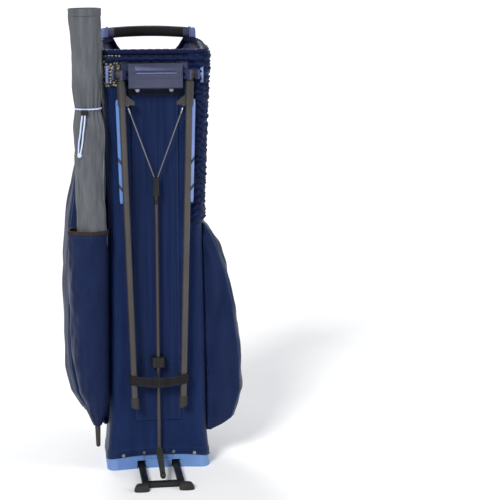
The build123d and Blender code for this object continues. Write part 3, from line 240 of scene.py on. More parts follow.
M = {
    "shell": cloth("navy_ripstop", (.0031, .0075, .0313), (.0078, .018, .0657), .0011, grid=.0044,
                   sheen=.18, rough=.42, crease=.9, gloss=.32),
    "pocket": cloth("navy_pocket_cloth", (.0028, .0057, .0232), (.0065, .0131, .0463), .001,
                    grid=.004, sheen=.2, rough=.38, crease=1.7, gloss=.34),
    "spine": cloth("spine_cloth", (.0066, .0126, .0427), (.0132, .0244, .0775), .0014, rough=.48,
                   sheen=.25, streak=(26.0, 8.0, .6), crease=.25),
    "strip": cloth("coated_strip", (.0174, .0357, .084), (.0298, .0595, .132), .0009, rough=.38,
                   sheen=.15, streak=(22.0, 10.0, .8), crease=.3),
    "ruche": cloth("ruched_cloth", (.003, .0063, .0245), (.0085, .017, .0612), .0009, rough=.4,
                   gloss=.26, sheen=.25, crease=1.4, depth=.8, streak=(9.0, 9.0, 7.0)),
    "rim": cloth("rim_mesh_cloth", (.0009, .0015, .0065), (.0027, .0045, .0216), .0022, rough=.6,
                 gloss=.45, sheen=.3, depth=.9, crease=.8, streak=(10.0, 10.0, 10.0)),
    "lining": cloth("lining_cloth", (.008, .008, .01), (.02, .02, .024), .0013, uv=False, rough=.8),
    "dark": cloth("dark_binding", (.006, .006, .009), (.016, .015, .02), .0013, rough=.7, crease=.2),
    "brown": cloth("brown_binding", (.018, .012, .011), (.045, .031, .028), rough=.72, crease=.2),
    "webbing": cloth("periwinkle_webbing", (.1667, .225, .4704), (.2645, .3438, .6272), .0016, rough=.7,
                     sheen=.3, depth=.8, crease=.15),
    "webbing_pale": cloth("pale_webbing", (.209, .2738, .5145), (.3135, .3953, .651), .0016, rough=.7,
                          sheen=.3, depth=.8, crease=.15),
    "lockweb": cloth("black_webbing", (.005, .005, .006), (.016, .016, .018), .0015, rough=.66,
                     depth=.9, crease=.1),
    "sheath": cloth("grey_sheath_cloth", (.0575, .0633, .072), (.1288, .138, .1524), rough=.55,
                    gloss=.3, sheen=.12, crease=1.5, depth=.6, streak=(10.0, 10.0, 1.6)),
    "canopy": cloth("furled_cloth", (.01, .01, .012), (.03, .03, .034), .0011, uv=False, rough=.6),
    "thread": cloth("thread", (.03, .042, .12), (.055, .075, .19), .0006, uv=False, rough=.6),
    "thread_pale": cloth("thread_pale", (.4, .45, .75), (.55, .6, .88), .0006, uv=False, rough=.6),
    "blue": plastic("blue_moulding", (.082, .17, .395), (.118, .228, .48), .46, wear=(.3, .42, .66)),
    "cap": plastic("pale_cap", (.0633, .087, .217), (.0908, .1218, .2728), .44, wear=(.5, .55, .8)),
    "frame": plastic("collar_moulding", (.018, .026, .074), (.036, .05, .128), .36, coat=.15,
                     brushed=(1.0, 1.0, 18.0), grain=260.0, depth=.16, wear=(.12, .14, .28)),
    "housing": plastic("housing_moulding", (.0203, .0232, .0624), (.0343, .0392, .096), .26, coat=.3,
                       depth=.05, wear=(.2, .22, .4)),
    "grip": plastic("navy_grip", (.01, .013, .04), (.026, .032, .085), .42, depth=.2,
                    wear=(.06, .07, .14)),
    "ribs": plastic("black_ribs", (.004, .004, .006), (.012, .012, .015), .5, depth=.3, gloss=.18),
    "black": plastic("black_moulding", (.0045, .0045, .005), (.013, .013, .014), .46, depth=.35,
                     gloss=.28, wear=(.05, .05, .05)),
    "rubber": plastic("dark_rubber", (.018, .017, .016), (.04, .038, .036), .7, depth=.6, gloss=.25,
                      grain=1100.0, wear=(.11, .105, .1)),
    "leg": plastic("warm_grey_paint", (.027, .023, .0218), (.0459, .0397, .0371), .4, coat=.05,
                   brushed=(1.0, 1.0, .05), grain=500.0, depth=.06, wear=(.11, .1, .1)),
    "bracket": plastic("warm_grey_moulding", (.018, .016, .015), (.031, .028, .026), .5, depth=.25,
                       wear=(.16, .15, .13)),
    "rod": plastic("rod_finish", (.0288, .023, .023), (.0504, .0414, .0414), .36,
                   brushed=(1.0, 1.0, .05), coat=.2, depth=.05, metal=.25),
    "steel": plastic("brushed_steel", (.24, .24, .26), (.42, .42, .44), .3, metal=1.0, depth=.1,
                     grain=900.0, wear=(.8, .8, .8)),
    "wire": plastic("spring_wire", (.11, .11, .118), (.22, .22, .235), .3, metal=.5, depth=.05),
    "badge": plastic("badge_moulding", (.02, .026, .036), (.042, .052, .066), .55, depth=.8,
                     grain=520.0, wear=(.12, .14, .17)),
    "coil": plastic("zip_coil", (.005, .005, .007), (.014, .014, .018), .45, depth=.4, grain=1500.0),
    "pull": plastic("brown_pull", (.0046, .0033, .0032), (.0127, .0091, .0088), .55, depth=.5,
                    wear=(.12, .09, .08)),
    "white": plastic("white_tab", (.7, .71, .74), (.86, .87, .9), .45, depth=.2),
    "felt": cloth("black_felt", (.006, .006, .007), (.02, .02, .022), .002, uv=False, rough=.95),
    "cord": braided("pale_cord", (.22, .3, .56), (.6, .68, .9), .0016),
    "speckle": mottled("speckled_mesh", (.01, .009, .01), (.52, .47, .4), .004, .42),
    "net": plastic("net_strand", (.006, .006, .008), (.02, .02, .024), .62, depth=.4),
    "strip_left": strip_paint("strip_left", (.085, .19, .47), 1.0),
    "strip_right": strip_paint("strip_right", (.15, .215, .46), -1.0),
}

PAINTED = {
    "cord": ["drawcord"],
    "steel": ["base_screws", "collar_rivets", "foot_pins", "leg_pins"],
    "blue": ["base_cup", "strap_adjusters", "accessory_ring"],
    "rod": ["stays", "push_rod"],
    "frame": ["collar_frame"],
    "housing": ["leg_housing"],
    "black": ["rod_guide", "coupler", "foot_frame"],
    "leg": ["leg_tube_left", "leg_tube_right"],
    "bracket": ["leg_bracket_left", "leg_bracket_right"],
    "rubber": ["leg_tip_left", "leg_tip_right"],
    "wire": ["spreader_wire_left", "spreader_wire_right"],
    "badge": ["badge_plate"],
}
for mat, names in PAINTED.items():
    for node in (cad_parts[name] for name in names):
        if not node.material_slots:
            node.data.materials.append(M[mat])
        for slot in node.material_slots:
            slot.material = M[mat]


# ---- the body's plan
# height, half width, depth of the leg side, depth of the strap side
LEVELS = np.array([(0.0, .107, .092, .112), (.09, .099, .087, .108), (.54, .0935, .082, .104),
                   (.77, .102, .088, .107), (.88, .1075, .092, .11)])
DISH, CORNER = .012, .02       # hollow of the leg side, radius of its two corners


def size_at(h, gap=0.0):
    return [np.interp(h, LEVELS[:, 0], LEVELS[:, k]) + gap for k in (1, 2, 3)]


def leg_arc(h, gap=0.0):
    """Centre and radius of the leg side's hollow."""
    hw, ls, _ = size_at(h, gap)
    r = (hw**2 + DISH**2) / (2 * DISH)
    return DISH - ls - r, r


def strap_arc(h, gap=0.0):
    """Centre and radius of the strap side's bulge."""
    hw, _, ss = size_at(h, gap)
    c = (ss**2 - hw**2) / (2 * ss)
    return c, ss - c


def face_y(side, x, h, gap=0.0):
    """Depth of the leg side (-1) or the strap side (1) at x and this height."""
    c, r = (leg_arc if side < 0 else strap_arc)(h, gap)
    return c + np.sqrt(r**2 - np.asarray(x)**2)


def mirrored(half):
    """Closed outline from its +X half, anticlockwise, with the first point repeated at its end."""
    half = np.array(half)
    return np.concatenate([half, half[::-1][1:] * (-1, 1)])


def ring(h, gap=0.0):
    """Plan from the middle of the leg side round +X and back."""
    hw = size_at(h, gap)[0]
    low, r = leg_arc(h, gap)
    c, rr = strap_arc(h, gap)
    rc = CORNER + gap
    cy = low + sqrt((r + rc)**2 - (hw - rc)**2)
    xs = np.linspace(0, (hw - rc) * r / (r + rc), 26)[:-1]
    a = np.linspace(atan2(low - cy, -(hw - rc)), 0, 12)[:-1]
    ys = np.linspace(cy, 0, 12)[:-1]
    b = np.linspace(atan2(-c, hw), pi / 2, 34)
    return mirrored(np.concatenate([np.stack(run, 1) for run in (
        (xs, low + np.sqrt(r**2 - xs**2)), (hw - rc + rc * np.cos(a), cy + rc * np.sin(a)),
        (np.full_like(ys, hw), ys), (rr * np.cos(b), c + rr * np.sin(b)))]))


SEAM = (-.092, .11), (.806, .792)           # depths, and the collar seam's height there
MID_PLAN = ring(.4)
ROWS_Z = np.array([0.0, .045, .09, .2, .3, .42, .54, .62, .7, .77, .82, .88])
RING_TABLE = np.array([ring(h) for h in ROWS_Z])


def plan_at(z, table=RING_TABLE):
    """Points of the plan with a height for each."""
    return np.stack([[np.interp(h, ROWS_Z, table[:, k, c]) for k, h in enumerate(z)] for c in (0, 1)] + [z], 1)


def plan_normals(g, closed=True):
    d = np.gradient(g, axis=1)
    if closed:
        d[:, 0] = d[:, -1] = g[:, 1] - g[:, -2]
    nor = np.stack([d[..., 1], -d[..., 0], np.zeros(d.shape[:2])], 2)
    return nor / np.linalg.norm(nor, axis=2)[..., None]


def rim_top(y):
    return np.interp(y, [-.072, .071, .101], [.847, .866, .82])


def shell_top(xy):
    """The shell ends just under the collar's seam, which falls towards the strap side."""
    return np.interp(xy[:, 1], *SEAM) - .0006


def wob(p, wave, seed, count=6):
    """Smooth seeded waviness of points, about -1 to 1, with this wavelength in metres."""
    rng = np.random.default_rng(seed)
    total = np.zeros(p.shape[:-1])
    for _ in range(count):
        d = rng.normal(size=3)
        d *= 2 * pi / np.asarray(wave) / np.linalg.norm(d) * rng.uniform(.6, 1.4)
        total += np.sin(p @ d + rng.uniform(0, 2 * pi))
    return total / sqrt(count)


def smooth(x, a, b):
    t = np.clip((x - a) / (b - a), 0, 1)
    return t * t * (3 - 2 * t)


def squared(c, power):
    """Sine or cosine pushed outwards, which turns an ellipse into a rounded block."""
    return np.sign(c) * np.abs(c)**power


def turn(steps):
    """Angles of a whole turn, with both ends."""
    return np.linspace(0, 2 * pi, steps + 1)


def span(side, near, far):
    """Low and high x of something on one side."""
    return tuple(sorted((side * near, side * far)))


# ---- mesh building
WELD, SLIVER = 2e-6, 1e-7


def finish_piece(name, verts, faces, uvs, mat, body="bag", replaces=(), weld=True, auto=None):
    me = bpy.data.meshes.new(name)
    me.from_pydata([tuple(v) for v in verts], [], [tuple(f) for f in faces])
    layer = me.uv_layers.new(name="UVMap")
    flat = np.array([uvs[i] for f in faces for i in f], dtype=np.float32)
    layer.data.foreach_set("uv", flat.ravel())
    if weld:
        bm = bmesh.new()
        bm.from_mesh(me)
        bmesh.ops.remove_doubles(bm, verts=bm.verts, dist=WELD)
        bmesh.ops.dissolve_degenerate(bm, edges=bm.edges, dist=SLIVER)
        bmesh.ops.recalc_face_normals(bm, faces=bm.faces)
        bm.to_mesh(me)
        bm.free()
    me.polygons.foreach_set("use_smooth", [True] * len(me.polygons))
    for m in mat if isinstance(mat, list) else [mat]:
        me.materials.append(M[m])
    o = add_object(name, me)
    if auto is not None:
        me.set_sharp_from_angle(angle=radians(auto))
    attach(o, body)
    if replaces:
        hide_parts(*replaces)
    return o


def grid_uv(g):
    du = np.linalg.norm(np.diff(g, axis=1), axis=2)
    dv = np.linalg.norm(np.diff(g, axis=0), axis=2)
    u = np.concatenate([np.zeros((g.shape[0], 1)), np.cumsum(du, 1)], 1)
    u -= u[:, u.shape[1] // 2][:, None]
    v = np.concatenate([np.zeros((1, g.shape[1])), np.cumsum(dv, 0)], 0)
    v = np.repeat(v.mean(axis=1)[:, None], g.shape[1], 1)
    return np.stack([u, v], 2)


def grid_faces(nv, nu, start=0, flip=False):
    out = []
    for j in range(nv - 1):
        for i in range(nu - 1):
            a = start + j * nu + i
            q = (a, a + 1, a + nu + 1, a + nu)
            out.append(q[::-1] if flip else q)
    return out


def slab(name, outer, inner, mat, body="bag", closed=False, **kw):
    """Closed piece between two grids; closed says that the grids run all the way round."""
    nv, nu = outer.shape[:2]
    uo = grid_uv(outer).reshape(-1, 2)
    verts = np.concatenate([outer.reshape(-1, 3), inner.reshape(-1, 3)])
    k = nv * nu
    faces = grid_faces(nv, nu) + grid_faces(nv, nu, k, True)
    for i in range(nu - 1):
        a = (nv - 1) * nu + i
        faces += [(i, k + i, k + i + 1, i + 1), (a, a + 1, k + a + 1, k + a)]
    if not closed:
        for j in range(nv - 1):
            a, b = j * nu, (j + 1) * nu
            c, d = a + nu - 1, b + nu - 1
            faces += [(a, b, k + b, k + a), (c, k + c, k + d, d)]
    return finish_piece(name, verts, faces, np.concatenate([uo, uo + .0007]), mat, body, **kw)


def loft(name, rings, mat, body="bag", caps=True, **kw):
    """Closed form through rings of points, each with its first point repeated at its end."""
    g = np.array(rings)
    nv, nu = g.shape[:2]
    verts = list(g.reshape(-1, 3))
    uvs = list(grid_uv(g).reshape(-1, 2))
    faces = grid_faces(nv, nu)
    for j in (0, nv - 1) if caps else ():
        c = len(verts)
        verts.append(g[j, :-1].mean(axis=0))
        uvs.append(np.zeros(2))
        for a in range(j * nu, j * nu + nu - 1):
            faces.append((a, a + 1, c) if j else (a + 1, a, c))
    return finish_piece(name, verts, faces, uvs, mat, body, **kw)


def tube(name, path, radius, mat, body="bag", up=Y_AXIS, sides=8, closed=False, **kw):
    """Round tube along a path; radius may be a list."""
    path = np.asarray(path, float)
    tan = np.gradient(path, axis=0)
    side = np.cross(tan, np.broadcast_to(up, path.shape))
    side /= np.linalg.norm(side, axis=1)[:, None]
    top = np.cross(side, tan / np.linalg.norm(tan, axis=1)[:, None])
    a = turn(sides)
    rings = [p + r * (np.outer(np.cos(a), s) + np.outer(np.sin(a), t))
             for p, r, s, t in zip(path, np.broadcast_to(radius, len(path)), side, top)]
    return loft(name, rings, mat, body, caps=not closed, **kw)


def dashes(name, runs, mat="thread", body="bag", length=.0026, gap=.0016, width=.0006):
    """Stitches: short round-backed dashes along runs of (points, one or more outward normals)."""
    verts, faces = [], []
    for pts, nor in runs:
        pts = np.asarray(pts, float)
        nor = np.broadcast_to(np.asarray(nor, float), pts.shape)
        s = np.concatenate([[0], np.cumsum(np.linalg.norm(np.diff(pts, axis=0), axis=1))])

        def on(line, at):
            return np.array([np.interp(at, s, line[:, k]) for k in range(3)])

        for a in np.arange(gap, s[-1] - length, length + gap):
            p0, p1, nn = on(pts, a), on(pts, a + length), on(nor, a)
            across = np.cross(p1 - p0, nn)
            across *= width / max(np.linalg.norm(across), 1e-9) * .9
            mid = (p0 + p1) / 2
            k = len(verts)
            verts += [p0, mid + across, p1, mid - across, mid + nn * width * .9]
            faces += [(k, k + 1, k + 4), (k + 1, k + 2, k + 4), (k + 2, k + 3, k + 4), (k + 3, k, k + 4)]
    return finish_piece(name, verts, faces, [np.zeros(2)] * len(verts), mat, body, weld=False)


def rounded_box(name, centre, size, mat, body="bag", bevel=.001, taper=1.0, **kw):
    """Block with rounded edges, its top narrowed by taper."""
    bm = bmesh.new()
    bmesh.ops.create_cube(bm, size=1.0)
    for v in bm.verts:
        f = taper if v.co.z > 0 else 1.0
        v.co = Vector((v.co.x * size[0] * f, v.co.y * size[1] * f, v.co.z * size[2]))
    bmesh.ops.bevel(bm, geom=bm.edges[:], offset=bevel, segments=3, affect="EDGES", profile=.6)
    bmesh.ops.translate(bm, vec=Vector(centre), verts=bm.verts)
    bm.verts.index_update()
    verts = [tuple(v.co) for v in bm.verts]
    faces = [tuple(v.index for v in f.verts) for f in bm.faces]
    bm.free()
    return finish_piece(name, verts, faces, [(v[0], v[2]) for v in verts], mat, body, auto=50, **kw)


def box_pair(name, x, y, z, size, mat, body="bag", node=None, **kw):
    """The same block on both sides; the left one stands for the node."""
    for side, tag in SIDES:
        rounded_box(f"{name}_{tag}", (side * x, y, z), size, mat, body,
                    replaces=[node] if node and side < 0 else (), **kw)


# ---- loose cord ends and their knot
ROUTE_A = [(-.1365, -.1245, .7247), (-.1378, -.1252, .7085), (-.1408, -.1239, .6895), (-.1424, -.1224, .6705),
           (-.1462, -.1206, .652)]
ROUTE_B = [(-.1415, -.124, .7246), (-.1444, -.1238, .7075), (-.146, -.1216, .689), (-.1496, -.1198, .671),
           (-.1502, -.1192, .6523)]
KNOT_AT, KNOT_R = np.array((-.1482, -.1196, .648)), .0049


def free_cord(name, route, node):
    cu = bpy.data.curves.new(name, "CURVE")
    cu.dimensions = "3D"
    sp = cu.splines.new("NURBS")
    sp.points.add(len(route) - 1)
    for q, p in zip(sp.points, route):
        q.co = (*p, 1.0)
    sp.order_u = 3
    sp.use_endpoint_u = True
    sp.resolution_u = 12
    cu.bevel_depth = .0015
    cu.bevel_resolution = 4
    cu.use_fill_caps = True
    cu.materials.append(M["cord"])
    o = add_object(name, cu)
    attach(o, "bag")
    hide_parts(node)


b = turn(28)
rings = []
for a in np.linspace(.02, pi - .02, 22):
    r = KNOT_R * (1 - .16 * np.abs(np.sin(1.5 * b + 2.2 * a)) * sin(a))
    rings.append(KNOT_AT + np.stack([r * sin(a) * np.cos(b), r * sin(a) * np.sin(b), np.full(29, -KNOT_R * cos(a))], 1))
knot = loft("cord_knot", rings, "cord", replaces=["drawcord_knot"])
free_cord("cord_end_long", ROUTE_A, "drawcord_end_long")
free_cord("cord_end_short", ROUTE_B, "drawcord_end_short")


# ---- body shell and its hem
HEM_BAND, SHELL_WALL, SHELL_ROWS = .017, .0025, 150


def hem_height(xy):
    """The hem's lower edge: arched on the leg side, lower on the strap side."""
    x, y = xy[:, 0], xy[:, 1]
    leg = .031 - .01 * (x / .107)**2
    strap = .009 + .012 * np.clip(np.abs(x) / .107, 0, 1)**2
    return leg + (strap - leg) * smooth(y, -.085, -.02)


def skin_grid(bulge):
    """Closed skin of the body from the hem to the collar, moved out by bulge."""
    lo, hi = hem_height(MID_PLAN), shell_top(MID_PLAN)
    g = np.array([plan_at(lo + (hi - lo) * f) for f in np.linspace(0, 1, SHELL_ROWS)])
    return g + plan_normals(g) * bulge(g)[..., None]


def shell_bulge(g):
    z = g[..., 2]
    hem = hem_height(g[0])[None, :] + HEM_BAND
    soft = np.clip(wob(g, (.05, .05, .16), 3) * .5 + wob(g, (.025, .025, .05), 5) * .25, -1, 1)
    pucker = np.sin(g[..., 0] * 2 * pi / .009 + g[..., 1] * 2 * pi / .011) * np.exp(-np.abs(z - hem) / .008)
    return (-.0008 + .0007 * soft * smooth(z, .05, .12) + .0009 * smooth(-z, -hem, -hem + .0012)
            + .0003 * pucker)


def ring_line(above, gap):
    """Line round the body at this height over its hem, with its normals."""
    p = plan_at(hem_height(MID_PLAN) + above)
    nor = plan_normals(p[None])[0]
    return p + nor * gap, nor


slab("shell_cloth", skin_grid(shell_bulge), skin_grid(lambda g: np.full(g.shape[:2], -SHELL_WALL)), "shell",
     closed=True, replaces=["body_shell"])
dashes("hem_stitching", [ring_line(above, .0002) for above in (.0025, HEM_BAND - .003)])
HANDLE_Y = .06
box_pair("handle_cap", .089, HANDLE_Y, .8672, (.0138, .0215, .029), "cap", node="handle_caps", bevel=.0048,
         taper=.84)


# ---- flat panels on the two faces: each box is (x0, x1, z0, z1)
def face_grid(box, gap, nu, nv, side, bulge=None, edge=0.0):
    """Panel on the leg face (side -1) or the strap face (side 1), its border lowered by edge."""
    x0, x1, z0, z1 = box
    xs = np.linspace(x0, x1, nu)
    g = np.array([np.stack([xs, face_y(side, xs, z, gap), np.full(nu, z)], 1) for z in np.linspace(z0, z1, nv)])
    off = bulge(g) if bulge else np.zeros((nv, nu))
    if edge:
        u = np.minimum(np.abs(g[..., 0] - x0), np.abs(g[..., 0] - x1))
        v = np.minimum(g[..., 2] - z0, z1 - g[..., 2])
        off = off - edge * (1 - smooth(np.minimum(u, v), 0.0, 2.2 * edge))
    if side < 0:
        return g - off[..., None] * Y_AXIS
    nor = np.stack([g[..., 0], g[..., 1] - strap_arc(g[..., 2])[0], np.zeros((nv, nu))], 2)
    return g + nor / np.linalg.norm(nor, axis=2)[..., None] * off[..., None]


def panel(name, box, lift, mat, side, nu, nv, under=.0002, bulge=None, edge=0.0, **kw):
    grids = face_grid(box, lift, nu, nv, side, bulge, edge), face_grid(box, under, nu, nv, side)
    return slab(name, *[g[:, ::-side] for g in grids], mat, **kw)


def edge_runs(box, lift, side, inset):
    """Stitch line round a panel, inside its edge."""
    x0, x1, z0, z1 = np.array(box) + np.array((1, -1, 1, -1)) * inset
    lines = ([(x, z) for x in np.linspace(x0, x1, 12)] for z in (z0, z1)), \
        ([(x, z) for z in np.linspace(z0, z1, 24)] for x in (x0, x1))
    return [([(x, face_y(side, x, z, lift), z) for x, z in line], Y_AXIS * side)
            for pair in lines for line in pair]


def spine_bulge(g):
    x, z = g[..., 0], g[..., 2]
    pleat = .00022 * np.sin(2 * pi * x / .0115 + .6 * np.sin(z * 9)) * smooth(z, .1, .3)
    groove = -.0011 * np.exp(-((z - .2265) / .0012)**2) - .0009 * np.exp(-((np.abs(x) - .041) / .0011)**2)
    return -.0003 + pleat + groove + .0004 * wob(g, (.03, .03, .12), 11)


SPINE, RIVET_BAND = (-.046, .046, .1, .77), (-.052, .052, .757, .7715)
panel("spine_cloth", SPINE, .0018, "spine", -1, 90, 260, bulge=spine_bulge, edge=.0009, replaces=["spine_panel"])
dashes("spine_stitching", edge_runs(SPINE, .0017, -1, .0022))
panel("rivet_band", RIVET_BAND, .0016, "dark", -1, 50, 12, under=.0003, edge=.0004)
dashes("rivet_band_stitching", edge_runs(RIVET_BAND, .0017, -1, .0018))


# ---- gathered cloth on the collar and the right side
def body_grid(side, y0, y1, low, top, rows, gap, fine=3):
    """Panel on one side between two depths, up to the height that top gives, with its normals."""
    plan = ring(.7)
    idx = np.where((plan[:, 0] * side > .06) & (plan[:, 1] > y0) & (plan[:, 1] < y1))[0]
    pos = np.linspace(idx[0], idx[-1], fine * (len(idx) - 1) + 1)
    table = np.stack([[np.interp(pos, np.arange(len(plan)), level[:, k]) for level in RING_TABLE] for k in (0, 1)], 2)
    high = top(table[4, :, 1])      # from the depths at the fifth level
    g = np.array([plan_at(low + (high - low) * f, table) for f in np.linspace(0, 1, rows)])
    nor = plan_normals(g, closed=False)
    return g + nor * gap, nor


def ruched(name, side, y0, y1, low, rows, node):
    g, nor = body_grid(side, y0, y1, low, lambda y: rim_top(y) - .009, rows, .0004)
    s, v = grid_uv(g)[..., 0], g[..., 2]
    phase = v / .0135 + .3 * np.sin(2 * pi * s / .034 + 9 * v) + .18 * wob(g, (.02, .02, .03), 21)
    cross = v / .0135 - s / .028 + .2 * wob(g, .03, 22)
    puff = np.abs(np.sin(pi * phase))**.7 * (.62 + .38 * np.abs(np.sin(pi * cross))**.6)
    fine = .16 * wob(g, (.008, .008, .005), 23)
    su = (s - s.min()) / (s.max() - s.min())
    held = smooth(su, 0, .1) * (1 - smooth(su, .9, 1.0)) * smooth(v, low, low + .01)
    lift = .0008 + .006 * (puff + fine) * held
    slab(name, g + nor * lift[..., None], g, "ruche", replaces=[node])


ruched("gathered_side_right", 1, -.089, .046, .503, 170, "ruched_panel_right")
ruched("gathered_collar_left", -1, -.062, .046, .748, 60, "ruched_panel_left")

# speckled mesh patch at the left corner of the collar
g, nor = body_grid(-1, -.098, -.062, .775, lambda y: np.full_like(y, .836), 30, .0003)
slab("mesh_corner", g + nor * (.0012 + .0005 * np.abs(wob(g, .006, 31)))[..., None], g, "speckle")

# ruffled welt along the leg side of the collar
x = np.linspace(-.094, .094, 160)
tube("collar_welt", np.stack([x, face_y(-1, x, .828, .0042), .8285 + .0006 * np.sin(x * 2 * pi / .021)], 1),
     .0052 * (1 + .1 * np.sin(x * 2 * pi / .0095) + .06 * np.sin(x * 2 * pi / .0036)), "ruche", up=Z_AXIS, sides=16)


# ---- padded rim
TUCKS, CREASES = 46, 139
base = ring(.86)
along = np.concatenate([[0], np.cumsum(np.linalg.norm(np.diff(base, axis=0), axis=1))])
share = np.linspace(0, 1, 541)
rim_xy = np.stack([np.interp(share * along[-1], along, base[:, k]) for k in (0, 1)], 1)
rim_line = np.column_stack([rim_xy, rim_top(rim_xy[:, 1])])
rim_n = plan_normals(rim_line[None])[0]
a = turn(24)
rings = []
for point, nor, s in zip(rim_line, rim_n, share):
    tuck = 1 - .1 * abs(cos(pi * s * TUCKS))**6 - .035 * sin(2 * pi * s * CREASES)
    rings.append(point + np.outer(squared(np.cos(a), .8) * .0073 * tuck - .0078, nor)
                 + np.outer(squared(np.sin(a), .8) * .0064 * tuck - .0066, Z_AXIS))
rim = loft("rim_cushion", rings, "rim", caps=False, replaces=["rim_pad"])
tube("rim_piping", rim_line - rim_n * .0004 - Z_AXIS * .0128, .0013, "dark", up=Z_AXIS, closed=True)


# ---- handle grip, ribbed on the leg side
RIB_PITCH, RIB_DEPTH = .004, .0015
a = np.linspace(-pi / 2, 3 * pi / 2, 49)
y, z = squared(np.cos(a), .62) * .0098, squared(np.sin(a), .62) * .0108
rings = []
for x in np.linspace(-.0827, .0827, 331):
    rib = (.5 - .5 * cos(2 * pi * x / RIB_PITCH)) * (abs(x) < .068)
    cut = np.where(y < -.001, RIB_DEPTH * rib, 0.0)
    k = 1 - .1 * max(0.0, (abs(x) - .0805) / .0022)**2
    top = .871 + .004 * (1 - (x / .083)**2)
    rings.append(np.stack([np.full_like(y, x), HANDLE_Y + (y + cut) * k, top + (z - np.sign(z) * cut * .5) * k], 1))
grip = loft("grip_ribbed", rings, ["grip", "ribs"], replaces=["handle_grip"])
for p in grip.data.polygons:
    p.material_index = int(p.center.y < .0585 and abs(p.center.x) < .069)
box_pair("cap_band", .0832, HANDLE_Y, .8715, (.0032, .0226, .0246), "cap", bevel=.0012)


# ---- housing details
rounded_box("housing_ledge", (0, -.1124, .802), (.094, .003, .0032), "housing")
# pale tube along the cover's top edge: a painted highlight that stands for the shine on that rounded edge, not a real
# axle
tube("housing_painted_highlight", [(x, -.1262, .8035) for x in np.linspace(-.0392, .0392, 9)], .0016, "cap", up=Z_AXIS, sides=14)
rounded_box("housing_top_window", (0, -.1121, .8125), (.078, .0012, .009), "housing", bevel=.0005)
for side, tag in SIDES:
    rounded_box(f"clevis_plate_{tag}", (side * .0478, -.1122, .7925), (.004, .0026, .034), "frame", bevel=.0009)
    g = np.array([[(x, face_y(-1, x, z, .002) - .0016 * sin(pi * (z - .782) / .034), z)
                   for x in (side * .0915 - .003, side * .0915 + .003)] for z in np.linspace(.782, .816, 16)])
    slab(f"side_loop_{tag}", g, g + Y_AXIS * .0012, "webbing")


# ---- legs: pale strips, and the eye and ferrule of each spreader wire
LEG_Y, ROD_Y = -.104, -.09
PIVOT, FOOT = np.array((.066, LEG_Y, .8)), np.array((.048, LEG_Y, .131))
WIRE_TOP, WIRE_END = np.array((.0545, LEG_Y, .7402)), np.array((.0034, ROD_Y, .5986))
b = turn(20)
eye_t = turn(32)
for side, tag in SIDES:
    flip = np.array((side, 1, 1))
    up = (PIVOT - FOOT) * flip / np.linalg.norm(PIVOT - FOOT)
    out = X_AXIS * side - up * (side * up[0])
    out /= np.linalg.norm(out)
    rings = []
    for f in np.linspace(0, 1, 60):
        w = .0033 * (1 - .35 * max(0, (f - .97) / .03) - .35 * max(0, (.03 - f) / .03))
        rings.append(PIVOT * flip - up * (.048 + .202 * f) + np.outer(.0092 + squared(np.cos(b), .5) * w, out)
                     + np.outer(squared(np.sin(b), .6) * .0016, Y_AXIS))
    loft(f"leg_strip_{tag}", rings, f"strip_{tag}", f"leg_{tag}")
    tip = WIRE_TOP * flip
    run = (WIRE_TOP - WIRE_END) * flip / np.linalg.norm(WIRE_TOP - WIRE_END)
    tube(f"wire_ferrule_{tag}", [tip - run * d for d in (.0175, .0165, .006, .0052)],
         [.0013, .0021, .0021, .0013], "steel", f"wire_{tag}", sides=12)
    eye = tip + np.stack([.0024 * np.cos(eye_t), 0 * eye_t, .0018 + .0024 * np.sin(eye_t)], 1)
    tube(f"bracket_eye_{tag}", eye, .0007, "steel", f"leg_{tag}", closed=True)


# ---- leg lock band in two halves
LOCK_Z, LOCK_WRAP = .189, .0086     # height of the band, and how far it runs from the leg's middle
lock_leg = FOOT[0] + (LOCK_Z - FOOT[2]) * (PIVOT[0] - FOOT[0]) / (PIVOT[2] - FOOT[2])
path = [(lock_leg + LOCK_WRAP - .018, LEG_Y + LOCK_WRAP)]
path += [(lock_leg + LOCK_WRAP * cos(t), LEG_Y + LOCK_WRAP * sin(t)) for t in np.linspace(pi / 2, -pi / 2, 14)]
path += [(x, LEG_Y - LOCK_WRAP) for x in np.linspace(lock_leg - .004, .0006, 26)]
path = np.array(path)
tan = np.gradient(path, axis=0)
nor = np.stack([-tan[:, 1], tan[:, 0]], 1) / np.linalg.norm(tan, axis=1)[:, None]
x = path[:, 0]
outer, inner = [], []
for z in np.linspace(-.01, .01, 12):
    zz = LOCK_Z + .006 * np.clip(x / .052, 0, 1)**1.6 + z * (1 + .06 * np.cos(x * 60))
    ripple = .00025 * np.sin(x * 2 * pi / .014 + z * 160)
    outer.append(np.column_stack([path + nor * (.0012 + ripple)[:, None], zz]))
    inner.append(np.column_stack([path - nor * .0008, zz]))
for side, tag in SIDES:
    out_g, in_g = [np.array(grid) * (side, 1, 1) for grid in (outer, inner)]
    slab(f"lock_webbing_{tag}", out_g, in_g, "lockweb", f"leg_{tag}", replaces=[f"lock_band_{tag}"])
    dashes(f"lock_stitching_{tag}", [(out_g[row, 16:] - Y_AXIS * .0001, -Y_AXIS) for row in (1, -2)], "thread",
           f"leg_{tag}")


